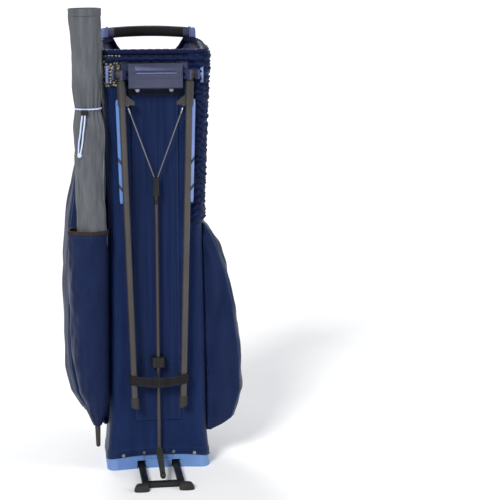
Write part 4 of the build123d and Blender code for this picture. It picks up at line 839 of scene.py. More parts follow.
# ---- rod boot with its ribs, clip and ferrule, and the coupler's rails
BOOT_TOP, BOOT_END = np.array((0, ROD_Y, .0415)), np.array((0, -.183, .017))
boot = np.linalg.norm(BOOT_END - BOOT_TOP)
axis = (BOOT_END - BOOT_TOP) / boot
u = np.linspace(-.0055, boot, 150)
prof = np.where(u < 0, .007 * np.sqrt(np.clip(1 - (u / .007)**2, 0, 1)), .007 - .002 * u / boot) - .0003
prof = prof + .0006 * np.maximum(0, np.sin(2 * pi * u / .0068)) * smooth(u, .008, .016) * (u < .086)
tube("boot_ribbed", BOOT_TOP + np.outer(u, axis), prof, "rubber", "rod", up=X_AXIS, sides=28, replaces=["rod_boot"])
tube("boot_clip", [BOOT_TOP + axis * d for d in (.0865, .087, .0925, .093)], [.005, .0058, .0058, .005],
     "black", "rod", up=X_AXIS, sides=20)
tube("rod_ferrule", [(0, ROD_Y, z) for z in (.545, .5455, .5605, .561)], [.0035, .0043, .0043, .0036], "black",
     "rod", sides=20)
box_pair("coupler_rail", .0047, -.0954, .58, (.0016, .0014, .03), "black", "rod", bevel=.0005)


# ---- foot: flared pads and the teeth of its bar
FOOT_PAD_X, FOOT_PAD_Y = .043, -.2094
b = turn(36)
for side, tag in SIDES:
    rings = []
    for f in np.linspace(0, 1, 22):
        drawn_in = max(0, (f - .86) / .14)**2
        x = squared(np.cos(b), .6) * (.015 - .0048 * f**2.2 - .0016 * drawn_in)
        y = squared(np.sin(b), .6) * (.011 - .0014 * f**2 - .0018 * drawn_in)
        tread = 1 - .01 * (1 - f) * np.abs(np.sin(7 * b))
        rings.append(np.stack([side * (FOOT_PAD_X + .001 * (1 - f)) + x * tread, FOOT_PAD_Y + y,
                               np.full_like(x, .0002 + .0126 * f)], 1))
    loft(f"foot_pad_{tag}", rings, "rubber", "foot", replaces=["foot_pads"] if side < 0 else ())
    for k in range(5):
        rounded_box(f"foot_tooth_{tag}_{k}", (side * (.0095 + .0031 * k), -.1945, .0108), (.002, .006, .0026),
                    "black", "foot", bevel=.0004, taper=.45)


# ---- padded floor, divider bars and linings
PAD_PROFILE = ((-.0087, .0198), (-.0075, .02), (-.0071, .0206), (-.0071, .0228), (-.0075, .0236), (-.0087, .0238))
BAR_THICK, BAR_LOW, BAR_HIGH = .01, .752, .784
LINING_LOW, LINING_HIGH = .0243, .7515
ALONG_X, ALONG_Y = (0, 1, 2), (1, 0, 2)     # which axes the run, the thickness and the height of a divider take
base_pad = loft("base_pad_felt", [np.column_stack([ring(.02, gap), np.full(len(MID_PLAN), z)])
                                  for gap, z in PAD_PROFILE], "felt", replaces=["base_pad"])


def divider_bar(tag, a, b, axes, at, node=()):
    """Rounded padded bar between two points of one axis."""
    t = turn(32)
    rings = []
    for f in (0, .004, .012, .05, .2, .35, .5, .65, .8, .95, .988, .996, 1.0):
        w = squared(np.cos(t), .65) * BAR_THICK / 2 * (1 - .35 * np.exp(-min(f, 1 - f) / .004))
        h = squared(np.sin(t), .55) * (BAR_HIGH - BAR_LOW) / 2 + (BAR_HIGH + BAR_LOW) / 2
        pts = np.stack([np.full_like(w, a + (b - a) * f), at + w, h], 1)[:, axes]
        pts[:, axes[1]] += .0004 * wob(pts, .02, 31)
        rings.append(pts)
    bar = loft(f"divider_bar_{tag}", rings, "rim", replaces=node)


def lining(tag, a, b, axes, at, node=()):
    """Cloth that hangs under a bar."""
    s, z = np.meshgrid(np.linspace(a, b, 70), np.linspace(LINING_LOW, LINING_HIGH, 60))
    g = np.stack([s, np.full_like(s, at), z], 2)[..., axes]
    held = (smooth(s, a, a + .012) * (1 - smooth(s, b - .012, b)) * (1 - smooth(z, .72, LINING_HIGH))
            * smooth(z, LINING_LOW, .05))
    g[..., axes[1]] += (.0016 * np.sin(2 * pi * s / .045 + 3 * z) + .001 * wob(g, (.04, .04, .15), 41)) * held
    o = finish_piece(f"divider_lining_{tag}", g.reshape(-1, 3), grid_faces(*g.shape[:2]),
                     grid_uv(g).reshape(-1, 2), "lining", replaces=node)


divider_bar("cross", -.095, .095, ALONG_X, .008, ["divider_bars"])
divider_bar("front", -.069, .0029, ALONG_Y, 0.0)
divider_bar("back", .0131, .0998, ALONG_Y, 0.0)
lining("cross", -.0968, .0968, ALONG_X, .008, ["divider_sheets"])
lining("front", -.0712, .0078, ALONG_Y, 0.0)
lining("back", .0082, .103, ALONG_Y, 0.0)


# ---- side pockets
CLEAR, SIDE_WALL = .0003, .058      # pockets off the body, and the depth of their wall on the strap side


def side_x(y, z, gap=CLEAR):
    """Half width of the body at this depth."""
    c, r = strap_arc(z, gap)
    y = np.asarray(y, float)
    return np.where(y <= 0, size_at(z, gap)[0], np.sqrt(np.maximum(r**2 - (y - c)**2, 1e-9)))


def pocket_outer(lv, z):
    """Distance of the pocket's face from the middle, rounded over at its two ends."""
    out = np.interp(z, lv[:, 0], lv[:, 1])
    t = min(1.0, max(0.0, (z - lv[0, 0]) / .016))
    u = min(1.0, max(0.0, (lv[-1, 0] - z) / .03))
    base = float(side_x(0, z))
    return base + (out - base) * (.35 + .65 * sqrt(1 - (1 - t)**2)) * (.12 + .88 * sqrt(1 - (1 - u)**2))


def side_pocket(name, side, y0, y1, levels, node, seed, r0=.014, puff=.0055):
    """Lofted bag on one side that bellies, folds and droops, with a piping along its two edges."""
    lv = np.array(levels)
    low, high = lv[0, 0], lv[-1, 0]
    rings, crests = [], ([], [])
    ends = np.linspace(0, 1, 26)**2 * .06
    quarter = np.linspace(0, pi / 2, 9)
    for z in low + (high - low) * np.concatenate([ends, np.linspace(.06, .94, 138)[1:-1], 1 - ends[::-1]]):
        out = pocket_outer(lv, z)
        b0, b1 = float(side_x(y0, z)), float(side_x(y1, z))
        r = max(.0006, min(r0, (out - max(b0, b1)) * .8))
        pts = [(x, y0) for x in np.linspace(b0, out - r, 9)[:-1]]
        pts += [(out - r + r * sin(t), y0 + r - r * cos(t)) for t in quarter]
        pts += [(out, y) for y in np.linspace(y0 + r, y1 - r, 30)[1:-1]]
        pts += [(out - r + r * cos(t), y1 - r + r * sin(t)) for t in quarter]
        pts += [(x, y1) for x in np.linspace(out - r, b1, 9)[1:]]
        pts += [(float(side_x(y, z)), y) for y in np.linspace(y1, y0, 10)[1:-1]]
        p = np.column_stack([pts + pts[:1], np.full(len(pts) + 1, z)])
        x, yy = p[:, 0].copy(), (p[:, 1] - y0) / (y1 - y0)
        crown = puff * np.sin(pi * np.clip(yy, 0, 1))**.8
        fold = .0028 * wob(p, (.06, .045, .13), seed) + .0011 * wob(p, (.03, .022, .05), seed + 1)
        droop = .0014 * np.sin(yy * 2 * pi * 4.2 + 30 * z) * np.exp(-abs(z - low - .03) / .045)
        held = (1 - smooth(z, high - .02, high)) * smooth(z, low, low + .02) * np.clip((out - b0) / .03, 0, 1)
        grow = smooth(x, out - 3 * r, out) * np.sin(pi * np.clip(yy, .04, .96))**.5 * held
        p[:, 0] += grow * (crown + fold + droop)
        on_front = (np.abs(p[:, 1] - y0) < 1e-5) & (x < out - r)
        ripple = .005 * wob(p, (.032, .04, .15), seed + 2) \
            * np.sin(pi * np.clip((x - b0) / max(out - r - b0, 1e-4), 0, 1))
        p[:, 1] -= np.where(on_front, ripple, 0)
        for crest, y in zip(crests, (y0 + .3 * r, y1 - .3 * r)):
            crest.append((side * (out - .3 * r), y, z))
        p[:, 0] *= side
        rings.append(p[::side])
    loft(name, rings, "pocket", replaces=[node])
    for tag, crest in zip(("leg_edge", "strap_edge"), crests):
        crest = np.array(crest)
        keep = np.concatenate([[True], np.linalg.norm(np.diff(crest, axis=0), axis=1) > .0008])
        tube(f"{name}_{tag}", crest[keep], .0016, "strip")


# height and distance of the pocket's face from the middle
GARMENT = [(.084, .112), (.112, .142), (.15, .164), (.2, .174), (.27, .178), (.43, .177), (.5, .17),
           (.565, .16), (.625, .149), (.685, .135), (.745, .116)]
APPAREL = [(.07, .122), (.094, .156), (.15, .173), (.22, .172), (.331, .158), (.4, .143), (.45, .126),
           (.5, .105)]
side_pocket("garment_pocket_cloth", -1, -.036, SIDE_WALL, GARMENT, "garment_pocket", 51)
side_pocket("apparel_pocket_cloth", 1, -SIDE_WALL, SIDE_WALL, APPAREL, "apparel_pocket", 61)


# ---- pockets on the strap face
BALL, POUCH = (.158, .016, .0045, .076), (.13, .01, .0035, .036)      # front, edge, dome and reach
BALL_HALF, BALL_LOW, BALL_SPRING = .085, .085, .262
POUCH_HALF, POUCH_LOW, POUCH_HIGH = .065, .362, .441
SNAP_Y, SNAP_Z = .1338, .4245
WALL_ROWS = 21


def lower_corner(w, low, c, flat_points, round_points):
    return [(x, low) for x in np.linspace(0, w - c, flat_points)[:-1]] \
        + [(w - c + c * sin(t), low + c - c * cos(t)) for t in np.linspace(0, pi / 2, round_points)[:-1]]


def arch_outline(d):
    """Arched outline of the ball pocket, drawn in by d."""
    w, low, rise, c = BALL_HALF - d, BALL_LOW + d, .078 - d, max(.012 - d * .4, .002)
    return mirrored(lower_corner(w, low, c, 14, 7) + [(w, z) for z in np.linspace(low + c, BALL_SPRING, 24)[:-1]]
                    + [(w * cos(t), BALL_SPRING + rise * sin(t)) for t in np.linspace(0, pi / 2, 26)])


def pouch_outline(d):
    """Rounded outline of the pouch, drawn in by d."""
    w, low, high, c = POUCH_HALF - d, POUCH_LOW + d, POUCH_HIGH - d, max(.026 - d, .003)
    return mirrored(lower_corner(w, low, c, 12, 12) + [(w, z) for z in np.linspace(low + c, high - c, 8)[:-1]]
                    + [(w - c + c * cos(t), high - c + c * sin(t)) for t in np.linspace(0, pi / 2, 12)[:-1]]
                    + [(x, high) for x in np.linspace(w - c, 0, 12)])


def front_y(d, front, edge, dome, reach):
    """Depth of a front pocket's skin this far in from its outline."""
    if d < edge:
        return front - edge + edge * sqrt(1 - (1 - d / edge)**2)
    return front + dome * (1 - (1 - min(1.0, (d - edge) / (reach - edge)))**2)


def outline_at(outline, d, y):
    """The outline drawn in by d, at this depth or these depths."""
    o = outline(d)
    return np.stack([o[:, 0], np.broadcast_to(y, len(o)), o[:, 1]], 1)


def front_pocket(name, outline, shape, node, seed, folds):
    front, edge, _, reach = shape
    base = outline(0)
    wall = face_y(1, base[:, 0], base[:, 1], CLEAR)
    rings = [outline_at(outline, 0, wall + (front - edge - wall) * f)
             for f in np.linspace(0, 1, WALL_ROWS + 1)[:-1]]
    depths = np.concatenate([edge * (1 - np.cos(np.linspace(0, pi / 2, 10))), np.linspace(edge, reach, 44)[1:]])
    g = np.array(rings + [outline_at(outline, d, front_y(d, *shape)) for d in depths])
    row = np.arange(len(g))[:, None]
    soft = folds * wob(g, (.06, .06, .07), seed) + .0005 * wob(g, (.02, .02, .03), seed + 1)
    g[..., 1] += soft * smooth(row, WALL_ROWS + 12, WALL_ROWS + 23) * (.25 + .75 * smooth(g[..., 2], .132, .15))
    side = (row > 0) & (row < WALL_ROWS)
    g[..., 0] += side * .002 * wob(g, (.05, .03, .07), seed + 2) * np.sign(g[..., 0])
    g[..., 2] += side * .0012 * wob(g, (.04, .03, .05), seed + 3)
    loft(name, g, "pocket", replaces=[node])


def outline_tube(name, outline, d, shape, radius, mat="strip", low=0.0, lift=.0006):
    """Piping that follows a pocket's outline above this height."""
    p = outline_at(outline, d, front_y(d, *shape) + lift)
    tube(name, p[p[:, 2] > low], radius, mat)


front_pocket("ball_pocket_cloth", arch_outline, BALL, "ball_pocket", 71, .0024)
front_pocket("valuables_pouch_cloth", pouch_outline, POUCH, "valuables_pouch", 81, .0014)
outline_tube("ball_edge_piping", arch_outline, .003, BALL, .0019)
outline_tube("ball_flap_welt", arch_outline, .0165, BALL, .0016, low=.104, lift=.0004)
outline_tube("ball_flap_coil", arch_outline, .0205, BALL, .0012, "coil", low=.104)
outline_tube("ball_flap_welt_inner", arch_outline, .0245, BALL, .0016, low=.104, lift=.0004)
outline_tube("pouch_piping", pouch_outline, .002, POUCH, .0015)

# lower patch of the ball pocket
patch = np.array([[(x, front_y(max(min(BALL_HALF - abs(x), z - BALL_LOW), .001), *BALL) + .0018, z)
                   for x in np.linspace(.062, -.062, 50)] for z in np.linspace(.099, .134, 16)])
slab("ball_patch", patch, patch - Y_AXIS * .0025, "spine")
dashes("ball_patch_stitching", [(patch[row] + Y_AXIS * .0001, Y_AXIS) for row in (-2, 1)])

# flap line, zip, snap and tab of the pouch
fx = np.linspace(.058, -.058, 60)
flap_z = .4075 - .01 * (1 - (fx / .058)**2)
flap = np.array([[(x, front_y(min(POUCH_HALF - abs(x), z - POUCH_LOW, POUCH_HIGH - z), *POUCH) + .0009, z)
                  for x, z in zip(fx, flap_z + dz)] for dz in np.linspace(-.0032, .0032, 6)])
slab("pouch_flap_welt", flap, flap - Y_AXIS * .0016, "strip")
tube("pouch_zip_coil", np.stack([fx, flap[3, :, 1] + .0006, flap_z - .0052], 1)[::-1], .0012, "coil")
SNAP_PROFILE = ((.0062, 0), (.0062, .001), (.0055, .0018), (.003, .002), (.0026, .0014), (.0004, .0013))
b = turn(32)
loft("pouch_snap", [np.stack([-r * np.cos(b), np.full(33, SNAP_Y + lift), SNAP_Z + r * np.sin(b)], 1)
                    for r, lift in SNAP_PROFILE], "grip")
rounded_box("pouch_zip_tab", (.034, .1353, .3905), (.005, .0022, .016), "pull", bevel=.0008)


# ---- open mesh panel
panel("mesh_backing", (-.0675, .0675, .4435, .5295), .001, "dark", 1, 60, 40, replaces=["mesh_panel"])
for side, tag in SIDES:
    panel(f"mesh_light_patch_{tag}", (*span(side, .04, .062), .4465, .5265), .0013, "sheath", 1, 20, 30,
          under=.0009)


def strut_mesh(name, segs, width, depth, gap, mat):
    """Flat strands on the strap face between pairs of points (x, z)."""
    verts, faces = [], []
    for ends in segs:
        p, q = np.array(ends)
        step = (q - p) / np.linalg.norm(q - p)
        half = np.array((-step[1], step[0])) * width / 2
        k = len(verts)
        for point in (p, (p + q) / 2, q):
            for across, lift in ((-1, 0), (-.7, 1), (.7, 1), (1, 0)):
                x, z = point + across * half
                verts.append((x, face_y(1, x, z, gap) + lift * depth, z))
        for a in (k, k + 4):
            faces += [(a + i, a + i + 1, a + i + 5, a + i + 4) for i in range(3)] + [(a + 3, a, a + 4, a + 7)]
        faces += [(k, k + 3, k + 2, k + 1), (k + 8, k + 9, k + 10, k + 11)]
    finish_piece(name, verts, faces, [(x, z) for x, _, z in verts], mat, weld=False)


NET_PITCH = .0127
cell = NET_PITCH / sqrt(3)
net = []
for row in range(-1, 9):
    for col in range(-6, 7):
        cx, cz = (col + (row % 2) / 2) * NET_PITCH, .447 + row * cell * 1.5
        v = [(cx + cell * sin(k * pi / 3), cz + cell * cos(k * pi / 3)) for k in range(4)]
        net += [(p, q) for p, q in zip(v, v[1:])
                if abs(p[0] + q[0]) / 2 < .0655 and .445 < (p[1] + q[1]) / 2 < .528]
strut_mesh("mesh_net", net, .0034, .0011, .0014, "net")
border = [((x, z), (x, z + .0215)) for x in (-.067, .067) for z in np.linspace(.444, .5075, 4)]
border += [((x, z), (x + .0135, z)) for z in (.4445, .5285) for x in np.linspace(-.0675, .054, 10)]
strut_mesh("mesh_binding", border, .005, .0013, .0012, "brown")


# ---- shoulder straps, tabs and adjusters
STRAP_X = .05


def strap_bulge(g, side):
    """Ruffled middle between two sewn lines."""
    x, z = g[..., 0], g[..., 2]
    ruff = smooth(z, .6, .606) * (1 - smooth(z, .688, .694))
    sewn = np.exp(-((z - .696) / .0012)**2) + np.exp(-((z - .598) / .0012)**2)
    u = np.abs(x - side * STRAP_X) / .017
    roll = np.abs(np.sin(pi * (z - .6 + .002 * np.sin(x * 90)) / .0118))**.8
    return (ruff * .0044 * roll * (1 - .25 * u**2) - .0008 * sewn + .0003 * wob(g, (.02, .02, .03), 91)
            + .0004 * (1 - u**2))


for side, tag in SIDES:
    x0, x1 = span(side, .033, .067)
    box = (x0, x1, .5942, .7808)
    outer = face_grid(box, .0022, 26, 260, 1, lambda g: strap_bulge(g, side), .0005)
    inner = face_grid(box, .0002, 26, 260, 1)
    z = outer[..., 2]
    sway = smooth(z, .6, .612) * (1 - smooth(z, .682, .694))
    for g in (outer, inner):
        g[..., 0] += .0017 * sway * np.sin(2 * pi * z / .0236 + side)
        g[..., 0] = side * STRAP_X + (g[..., 0] - side * STRAP_X) * (1 - .07 * sway)
    slab(f"shoulder_strap_{tag}_webbing", outer[:, ::-1], inner[:, ::-1], "webbing",
         replaces=[f"shoulder_strap_{tag}"])
    panel(f"shoulder_strap_{tag}_yoke", (x0 + .002, x1 - .002, .745, .78), .004, "webbing_pale", 1, 20, 20,
          under=.0018, edge=.0005)
    dashes(f"shoulder_strap_{tag}_stitching", edge_runs((x0 + .002, x1 - .002, .745, .78), .0042, 1, .0022)
           + edge_runs((x0, x1, .696, .744), .003, 1, .002), "thread_pale")
    tab = (*span(side, .032, .068), .5322, .5628)
    panel(f"strap_tab_{tag}_webbing", tab, .0022, "webbing_pale", 1, 24, 24, edge=.0006,
          bulge=lambda g: .0006 * np.sin(2 * pi * g[..., 2] / .0078), replaces=["strap_tabs"] if side < 0 else ())
    dashes(f"strap_tab_{tag}_stitching", edge_runs(tab, .003, 1, .003), "thread_pale")
    panel(f"strap_web_{tag}", (*span(side, .04, .06), .556, .6), .0012, "webbing", 1, 12, 30, edge=.0003)

# centre channel, plain label patch and four moulded ribs below it
LABEL = (-.015, .015, .5855, .6015)
panel("centre_channel", (-.0172, .0172, .603, .7515), .0011, "spine", 1, 30, 90, edge=.0006,
      bulge=lambda g: .0008 * (1 - (g[..., 0] / .0172)**2) + .0003 * wob(g, (.02, .02, .05), 95))
for tag, x in (("a", -.0185), ("b", .0185)):
    tube(f"channel_piping_{tag}", [(x, face_y(1, x, z, .001), z) for z in np.linspace(.602, .752, 60)],
         .0014, "strip")
panel("label_patch", LABEL, .0012, "grip", 1, 14, 10, edge=.0005)
dashes("label_stitching", edge_runs(LABEL, .0013, 1, .0014), "thread_pale")
for k in range(4):
    z = .539 + .0105 * k
    rounded_box(f"rib_{k}", (0, face_y(1, 0, z, .0018), z), (.03 - .0008 * k, .0034, .0058), "ribs",
                bevel=.0012)


# ---- webbing tab that holds the ring: its side view is (out from the body, height)
RING_X, RING_Z, STAND, WRAP_R = -.092, .788, .0085, .00365
hinge = RING_Z - .0018
ring_y = face_y(1, RING_X, RING_Z)
away = np.array((RING_X, ring_y - strap_arc(RING_Z)[0], 0))
away /= np.linalg.norm(away)
wide = np.cross(Z_AXIS, away)
line = [(.0014, .011), (.0018, .0085), (.003, .006), (.0055, .0042)]
line += [(STAND + WRAP_R * sin(t), WRAP_R * cos(t)) for t in np.linspace(0, 1.62 * pi, 34)]
line = np.array(line + [(.0032, .0022), (.0016, .0045)]) + (0, hinge)
step = np.gradient(line, axis=0)
nor = np.stack([-step[:, 1], step[:, 0]], 1) / np.linalg.norm(step, axis=1)[:, None]
grids = [np.array([(RING_X, ring_y, 0) + np.outer(q[:, 0], away) + np.outer(q[:, 1], Z_AXIS) + wide * w
                   for w in np.linspace(-.00515, .00515, 8)]) for q in (line + nor * .0006, line - nor * .0006)]
slab("ring_tab_webbing", *grids, "webbing", replaces=["ring_tab"])


# ---- umbrella pocket
# height, half width and half depth
POCKET = np.array([(.098, .0084, .0084), (.128, .02, .02), (.17, .03, .029), (.26, .037, .033),
                   (.4, .04, .034), (.497, .039, .034)])
POCKET_SEED = 101
AXIS_LOW = np.array((-.122, -.082, .052))
AXIS = np.array((-.132, -.095, .925)) - AXIS_LOW
AXIS /= np.linalg.norm(AXIS)


def pocket_ring(z, shrink, folds=1.0):
    hx, hy = [np.interp(z, POCKET[:, 0], POCKET[:, k]) - shrink for k in (1, 2)]
    ax = AXIS_LOW + AXIS * (z - AXIS_LOW[2]) / AXIS[2]
    cx = min(-size_at(z)[0] - .00045 - hx - shrink, ax[0])
    t = turn(96)
    p = np.stack([cx + hx * np.cos(t), ax[1] + hy * np.sin(t), np.full(97, z)], 1)
    amp = (.0012 * wob(p, (.035, .035, .1), POCKET_SEED) + .0006 * wob(p, (.015, .015, .04), POCKET_SEED + 1)
           + .001 * np.sin(9 * t + 4) * np.exp(-abs(z - .125) / .03))
    amp = amp * smooth(-np.cos(t), -.75, -.2) * folds * min(1, (z - .098) / .02)
    return p + np.stack([np.cos(t), np.sin(t), 0 * t], 1) * amp[:, None]


up_z = np.concatenate([np.linspace(.098, .15, 30), np.linspace(.15, .497, 110)[1:]])
rings = [pocket_ring(.1, .0008, 0)] + [pocket_ring(z, 0) for z in up_z]
rings += [pocket_ring(z, .002) for z in np.linspace(.4965, .3, 30)]
loft("umbrella_pocket_cloth", rings, "pocket", caps=False, replaces=["umbrella_pocket"])
slab("umbrella_pocket_binding", *[np.array([pocket_ring(z, shrink) for z in np.linspace(.4912, .4982, 6)])
                                  for shrink in (-.001, .0028)], "brown", closed=True)
dashes("umbrella_pocket_stitching", [(pocket_ring(.4875, -.0003), (-1.0, -.3, 0))])
flange = np.array([[(x, -.0701, z) for x in np.linspace(pocket_ring(z, 0, 0)[0, 0] - .006,
                                                        .0005 - size_at(z)[0], 8)]
                   for z in np.linspace(.152, .488, 60)])
slab("umbrella_pocket_seam", flange, flange + Y_AXIS * .0036, "pocket")


# ---- umbrella sheath, canopy, ferrule and handle: distances along the umbrella's axis
SHEATH_SEED, CORD_AT, HEM_AT = 111, .684, .862


def axis_points(*distances):
    return [AXIS_LOW + AXIS * d for d in distances]


def sleeve_ring(dist, radius, folds=0.0, gather=0.0):
    """Ring round the axis with folds and, at the cord, gathers."""
    t = turn(120)
    ex = np.cross(AXIS, Y_AXIS)
    ex /= np.linalg.norm(ex)
    out = np.outer(np.cos(t), ex) + np.outer(np.sin(t), np.cross(AXIS, ex))
    p = axis_points(dist)[0] + radius * out
    slant = np.abs(np.sin(1.5 * t + 16 * dist))**1.5 - .5
    amp = folds * (.002 * wob(p, (.03, .03, .16), SHEATH_SEED) + .0009 * wob(p, (.014, .014, .05), SHEATH_SEED + 1)
                   + .0034 * slant) + gather * (np.abs(np.sin(9 * t)) - .6 + .2 * np.sin(5 * t))
    return p + out * amp[:, None]


def sheath_grid(dists, lift, folds, gathers):
    radii = np.interp(dists, [.4, .644, .6805, .6875, .724, .873], [.0285, .0285, .0236, .0236, .0285, .0305])
    return np.array([sleeve_ring(*row) for row in zip(dists, radii + lift, folds, gathers)])


sd = np.linspace(.4, .8735, 230)
gathers = .0026 * np.exp(-((sd - CORD_AT) / .034)**2) + .0004
folds = .75 * np.minimum(1, np.abs(sd - CORD_AT) / .03)
in_hem = folds * (1 - .5 * (sd > HEM_AT))
slab("umbrella_sheath_cloth", *[sheath_grid(sd, lift, in_hem, gathers) for lift in (0, -.0015)], "sheath",
     closed=True, replaces=["umbrella_sheath"])
slab("sheath_hem", *[sheath_grid(np.linspace(.86, .8738, 8), lift, [.375] * 8, [.0004] * 8)
                     for lift in (.0008, -.0019)], "sheath", closed=True)
seam_line = sheath_grid(sd, .0006, folds, gathers)[:, 52]
tube("sheath_seam", seam_line, .001, "sheath", up=X_AXIS, sides=6)
dashes("sheath_seam_stitching", [(seam_line + (-.0012, -.0006, 0), -Y_AXIS)], "thread_pale")

t = turn(120)
rings = []
for d in np.concatenate([np.linspace(.05, .082, 12), np.linspace(.084, .7895, 150)]):
    r = np.interp(d, [.05, .052, .082, .47, .7895], [.005, .0058, .0088, .0215, .0215])
    fold = 1 - .1 * np.abs(np.sin(4 * t + 11 * d))**.6 * min(1, (d - .05) / .05)
    c = axis_points(d)[0]
    rings.append(c + (sleeve_ring(d, 1.0) - c) * (r * fold)[:, None])
loft("umbrella_canopy_cloth", rings, "canopy", "umbrella", replaces=["umbrella_canopy"])
tube("umbrella_ferrule", axis_points(.0002, .0015, .004, .02, .0515, .0535),
     [.0022, .0038, .0044, .0048, .0058, .005], "rubber", "umbrella", sides=24)
tube("umbrella_strap", axis_points(.56, .5605, .5755, .576), [.0216, .0222, .0222, .0216], "dark", "umbrella",
     sides=40)
hd = np.linspace(.7905, .862, 60)
hr = np.interp(hd, [.7905, .8, .85, .858, .862], [.0105, .0112, .0136, .0128, .0095])
hr = hr - .0005 * (np.abs(np.sin(pi * (hd - .79) / .0085)) < .35) * (hd > .802) * (hd < .846)
tube("umbrella_grip", axis_points(*hd), hr, "black", "umbrella", sides=32, replaces=["umbrella_handle"])

# toggle on the drawcord: two lobes side by side
TOGGLE_X, TOGGLE_Y, TOGGLE_LOW, TOGGLE_HEIGHT = -.1375, -.1228, .7252, .0096
t = turn(60)
rings = []
for f in np.linspace(0, 1, 14):
    k = 1 - .1 * (2 * f - 1)**6 - .06 * (2 * f - 1)**2
    x = squared(np.cos(t), .8) * .0073 * k
    y = squared(np.sin(t), .8) * .0053 * k * (1 - .2 * np.exp(-(x / .0022)**2))
    rings.append(np.stack([TOGGLE_X + x, TOGGLE_Y + y, np.full(61, TOGGLE_LOW + TOGGLE_HEIGHT * f)], 1))
loft("cord_toggle", rings, "black", replaces=["cord_lock"])


# ---- zips
BOX_CORNERS = ((-1, -1, -1), (1, -1, -1), (1, 1, -1), (-1, 1, -1), (-1, -1, 1), (1, -1, 1), (1, 1, 1), (-1, 1, 1))
BOX_FACES = ((0, 3, 2, 1), (4, 5, 6, 7), (0, 1, 5, 4), (1, 2, 6, 5), (2, 3, 7, 6), (3, 0, 4, 7))
TOOTH, TOOTH_PITCH, TOOTH_SHIFT = (.0027, .0009, .0009), .0014, .001


def zip_teeth(name, zx, wall, low, high):
    """One mesh of small boxes, left and right of the zip's middle in turn."""
    verts, faces, uvs = [], [], []
    for k, z in enumerate(np.arange(low + .002, high - .002, TOOTH_PITCH)):
        centre = np.array((zx + (TOOTH_SHIFT if k % 2 else -TOOTH_SHIFT), wall + .0013, z))
        faces += [tuple(len(verts) + i for i in f) for f in BOX_FACES]
        verts += [centre + np.array(c) * TOOTH / 2 for c in BOX_CORNERS]
        uvs += [(centre + np.array(c) * TOOTH)[[0, 2]] for c in BOX_CORNERS]
    finish_piece(name, verts, faces, uvs, "coil", weld=False)


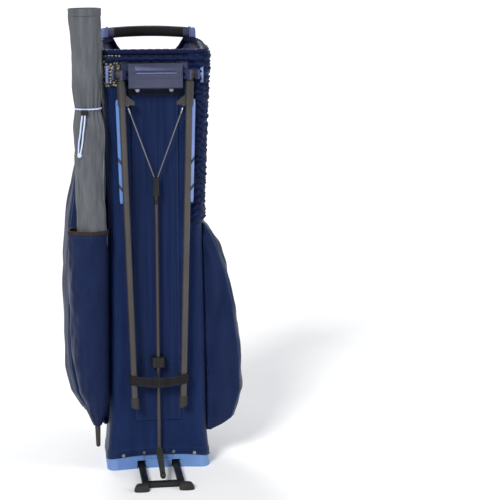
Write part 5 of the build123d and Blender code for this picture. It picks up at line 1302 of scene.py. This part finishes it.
# body of the pull, x, depth of the cloth, top, bottom, length of the pull, pale tab
ZIPS = (("garment_pull_upper", -.103, SIDE_WALL, .714, .628, .062, False),
        ("garment_pull_lower", -.126, SIDE_WALL, .66, .16, .078, True),
        ("apparel_pull", .104, SIDE_WALL, .438, .13, .066, True),
        ("ball_pull", .068, BALL[0], .238, .1, .05, False))
for body, zx, wall, high, low, pull, tab in ZIPS:
    tag, node = body.replace("pull", "zip"), body.replace("pull", "zip_pull")
    x, z = np.meshgrid(np.linspace(zx + .007, zx - .007, 9),
                       np.linspace(low, high, max(12, int((high - low) / .004))))
    y = wall + .0012 + .00015 * np.sin(2 * pi * z / .013) - .0003 * np.exp(-((x - zx) / .0016)**2)
    slab(f"{tag}_tape", np.stack([x, y, z], 2), np.stack([x, np.full_like(x, wall + .0003), z], 2), "strip",
         replaces=["zip_tapes"] if tag == "garment_zip_upper" else ())
    zip_teeth(f"{tag}_teeth", zx, wall, low, high)
    for end, sign in (("a", -1), ("b", 1)) if tag != "ball_zip" else ():
        x0, x1 = zx + sign * .0074, zx + sign * .012
        g = np.array([[(x, wall + .0016 - .0004 * (abs(x - zx) > .011), z)
                       for x in np.linspace(max(x0, x1), min(x0, x1), 5)]
                      for z in np.linspace(low - .004, high + .004, 40)])
        slab(f"{tag}_welt_{end}", g, g - Y_AXIS * .0013, "strip")
    top = high - .014
    blocks = [("slider", .0038, .0005, (.008, .004, .013), "pull", .0012, .78),
              ("bridge", .0064, 0, (.0028, .002, .008), "pull", .0007, 1.0),
              ("puller", .0071, pull / 2 + .001, (.005, .002, pull - .006), "pull", .0008, 1.0),
              ("grip", .007, pull - .0085, (.011, .0032, .015), "pull", .0012, .7),
              ("light_tab", .0078, pull * .55, (.0056, .0022, .013), "white", .0008, 1.0)]
    for part, out, down, size, mat, bevel, taper in blocks if tab else blocks[:-1]:
        rounded_box(f"{tag}_{part}", (zx, wall + out, top - down), size, mat, body, bevel, taper,
                    replaces=[node] if part == "slider" else ())


# ---- floor, backdrop light and lamps
def floor_paint():
    g, shader = principled("floor")
    body = g.coords()
    tone = g.ramp(g.noise(body, 3.0, 4.0), (.3, (.86, .86, .865)), (.7, (.9, .9, .905)))
    g.put(shader, Base_Color=tone, Roughness=.9, Specular_IOR_Level=.1)
    g.bump(shader, g.noise(body, 300.0), .02, .0005)
    return g.owner


def sun(name, energy, angle, direction, colour):
    lamp = bpy.data.lights.new(name, "SUN")
    lamp.energy = energy
    lamp.angle = radians(angle)
    lamp.color = colour
    aim(add_object(name, lamp), direction)


me = bpy.data.meshes.new("floor")
me.from_pydata([(-60, -60, 0), (60, -60, 0), (60, 120, 0), (-60, 120, 0)], [], [(0, 1, 2, 3)])
me.materials.append(floor_paint())
floor = add_object("floor", me)

# the camera sees a white backdrop, and the object is lit by a softer one
scene.world = bpy.data.worlds.new("world")
g = Nodes(scene.world)
rays = g.node("LightPath").outputs
white, soft = g.node("Background"), g.node("Background")
g.put(white, Color=(1.0, 1.0, 1.0), Strength=1.0)
g.put(soft, Color=(.95, .97, 1.0), Strength=.52)
mixed = g.node("MixShader")
for i, x in enumerate((g.maths("MAXIMUM", rays["Is Camera Ray"], rays["Is Transmission Ray"]), soft.outputs[0],
                       white.outputs[0])):
    g.plug(mixed.inputs[i], x)
g.put(g.node("OutputWorld"), Surface=mixed.outputs[0])

sun("key", 2.6, 16, (.45, .85, -.62), (1.0, .99, .97))
sun("fill", .9, 28, (-.8, .3, -.45), (.96, .98, 1.0))
sun("back", 1.5, 24, (.2, -.9, -.55), (1.0, 1.0, 1.0))
scene.view_settings.view_transform = "Standard"
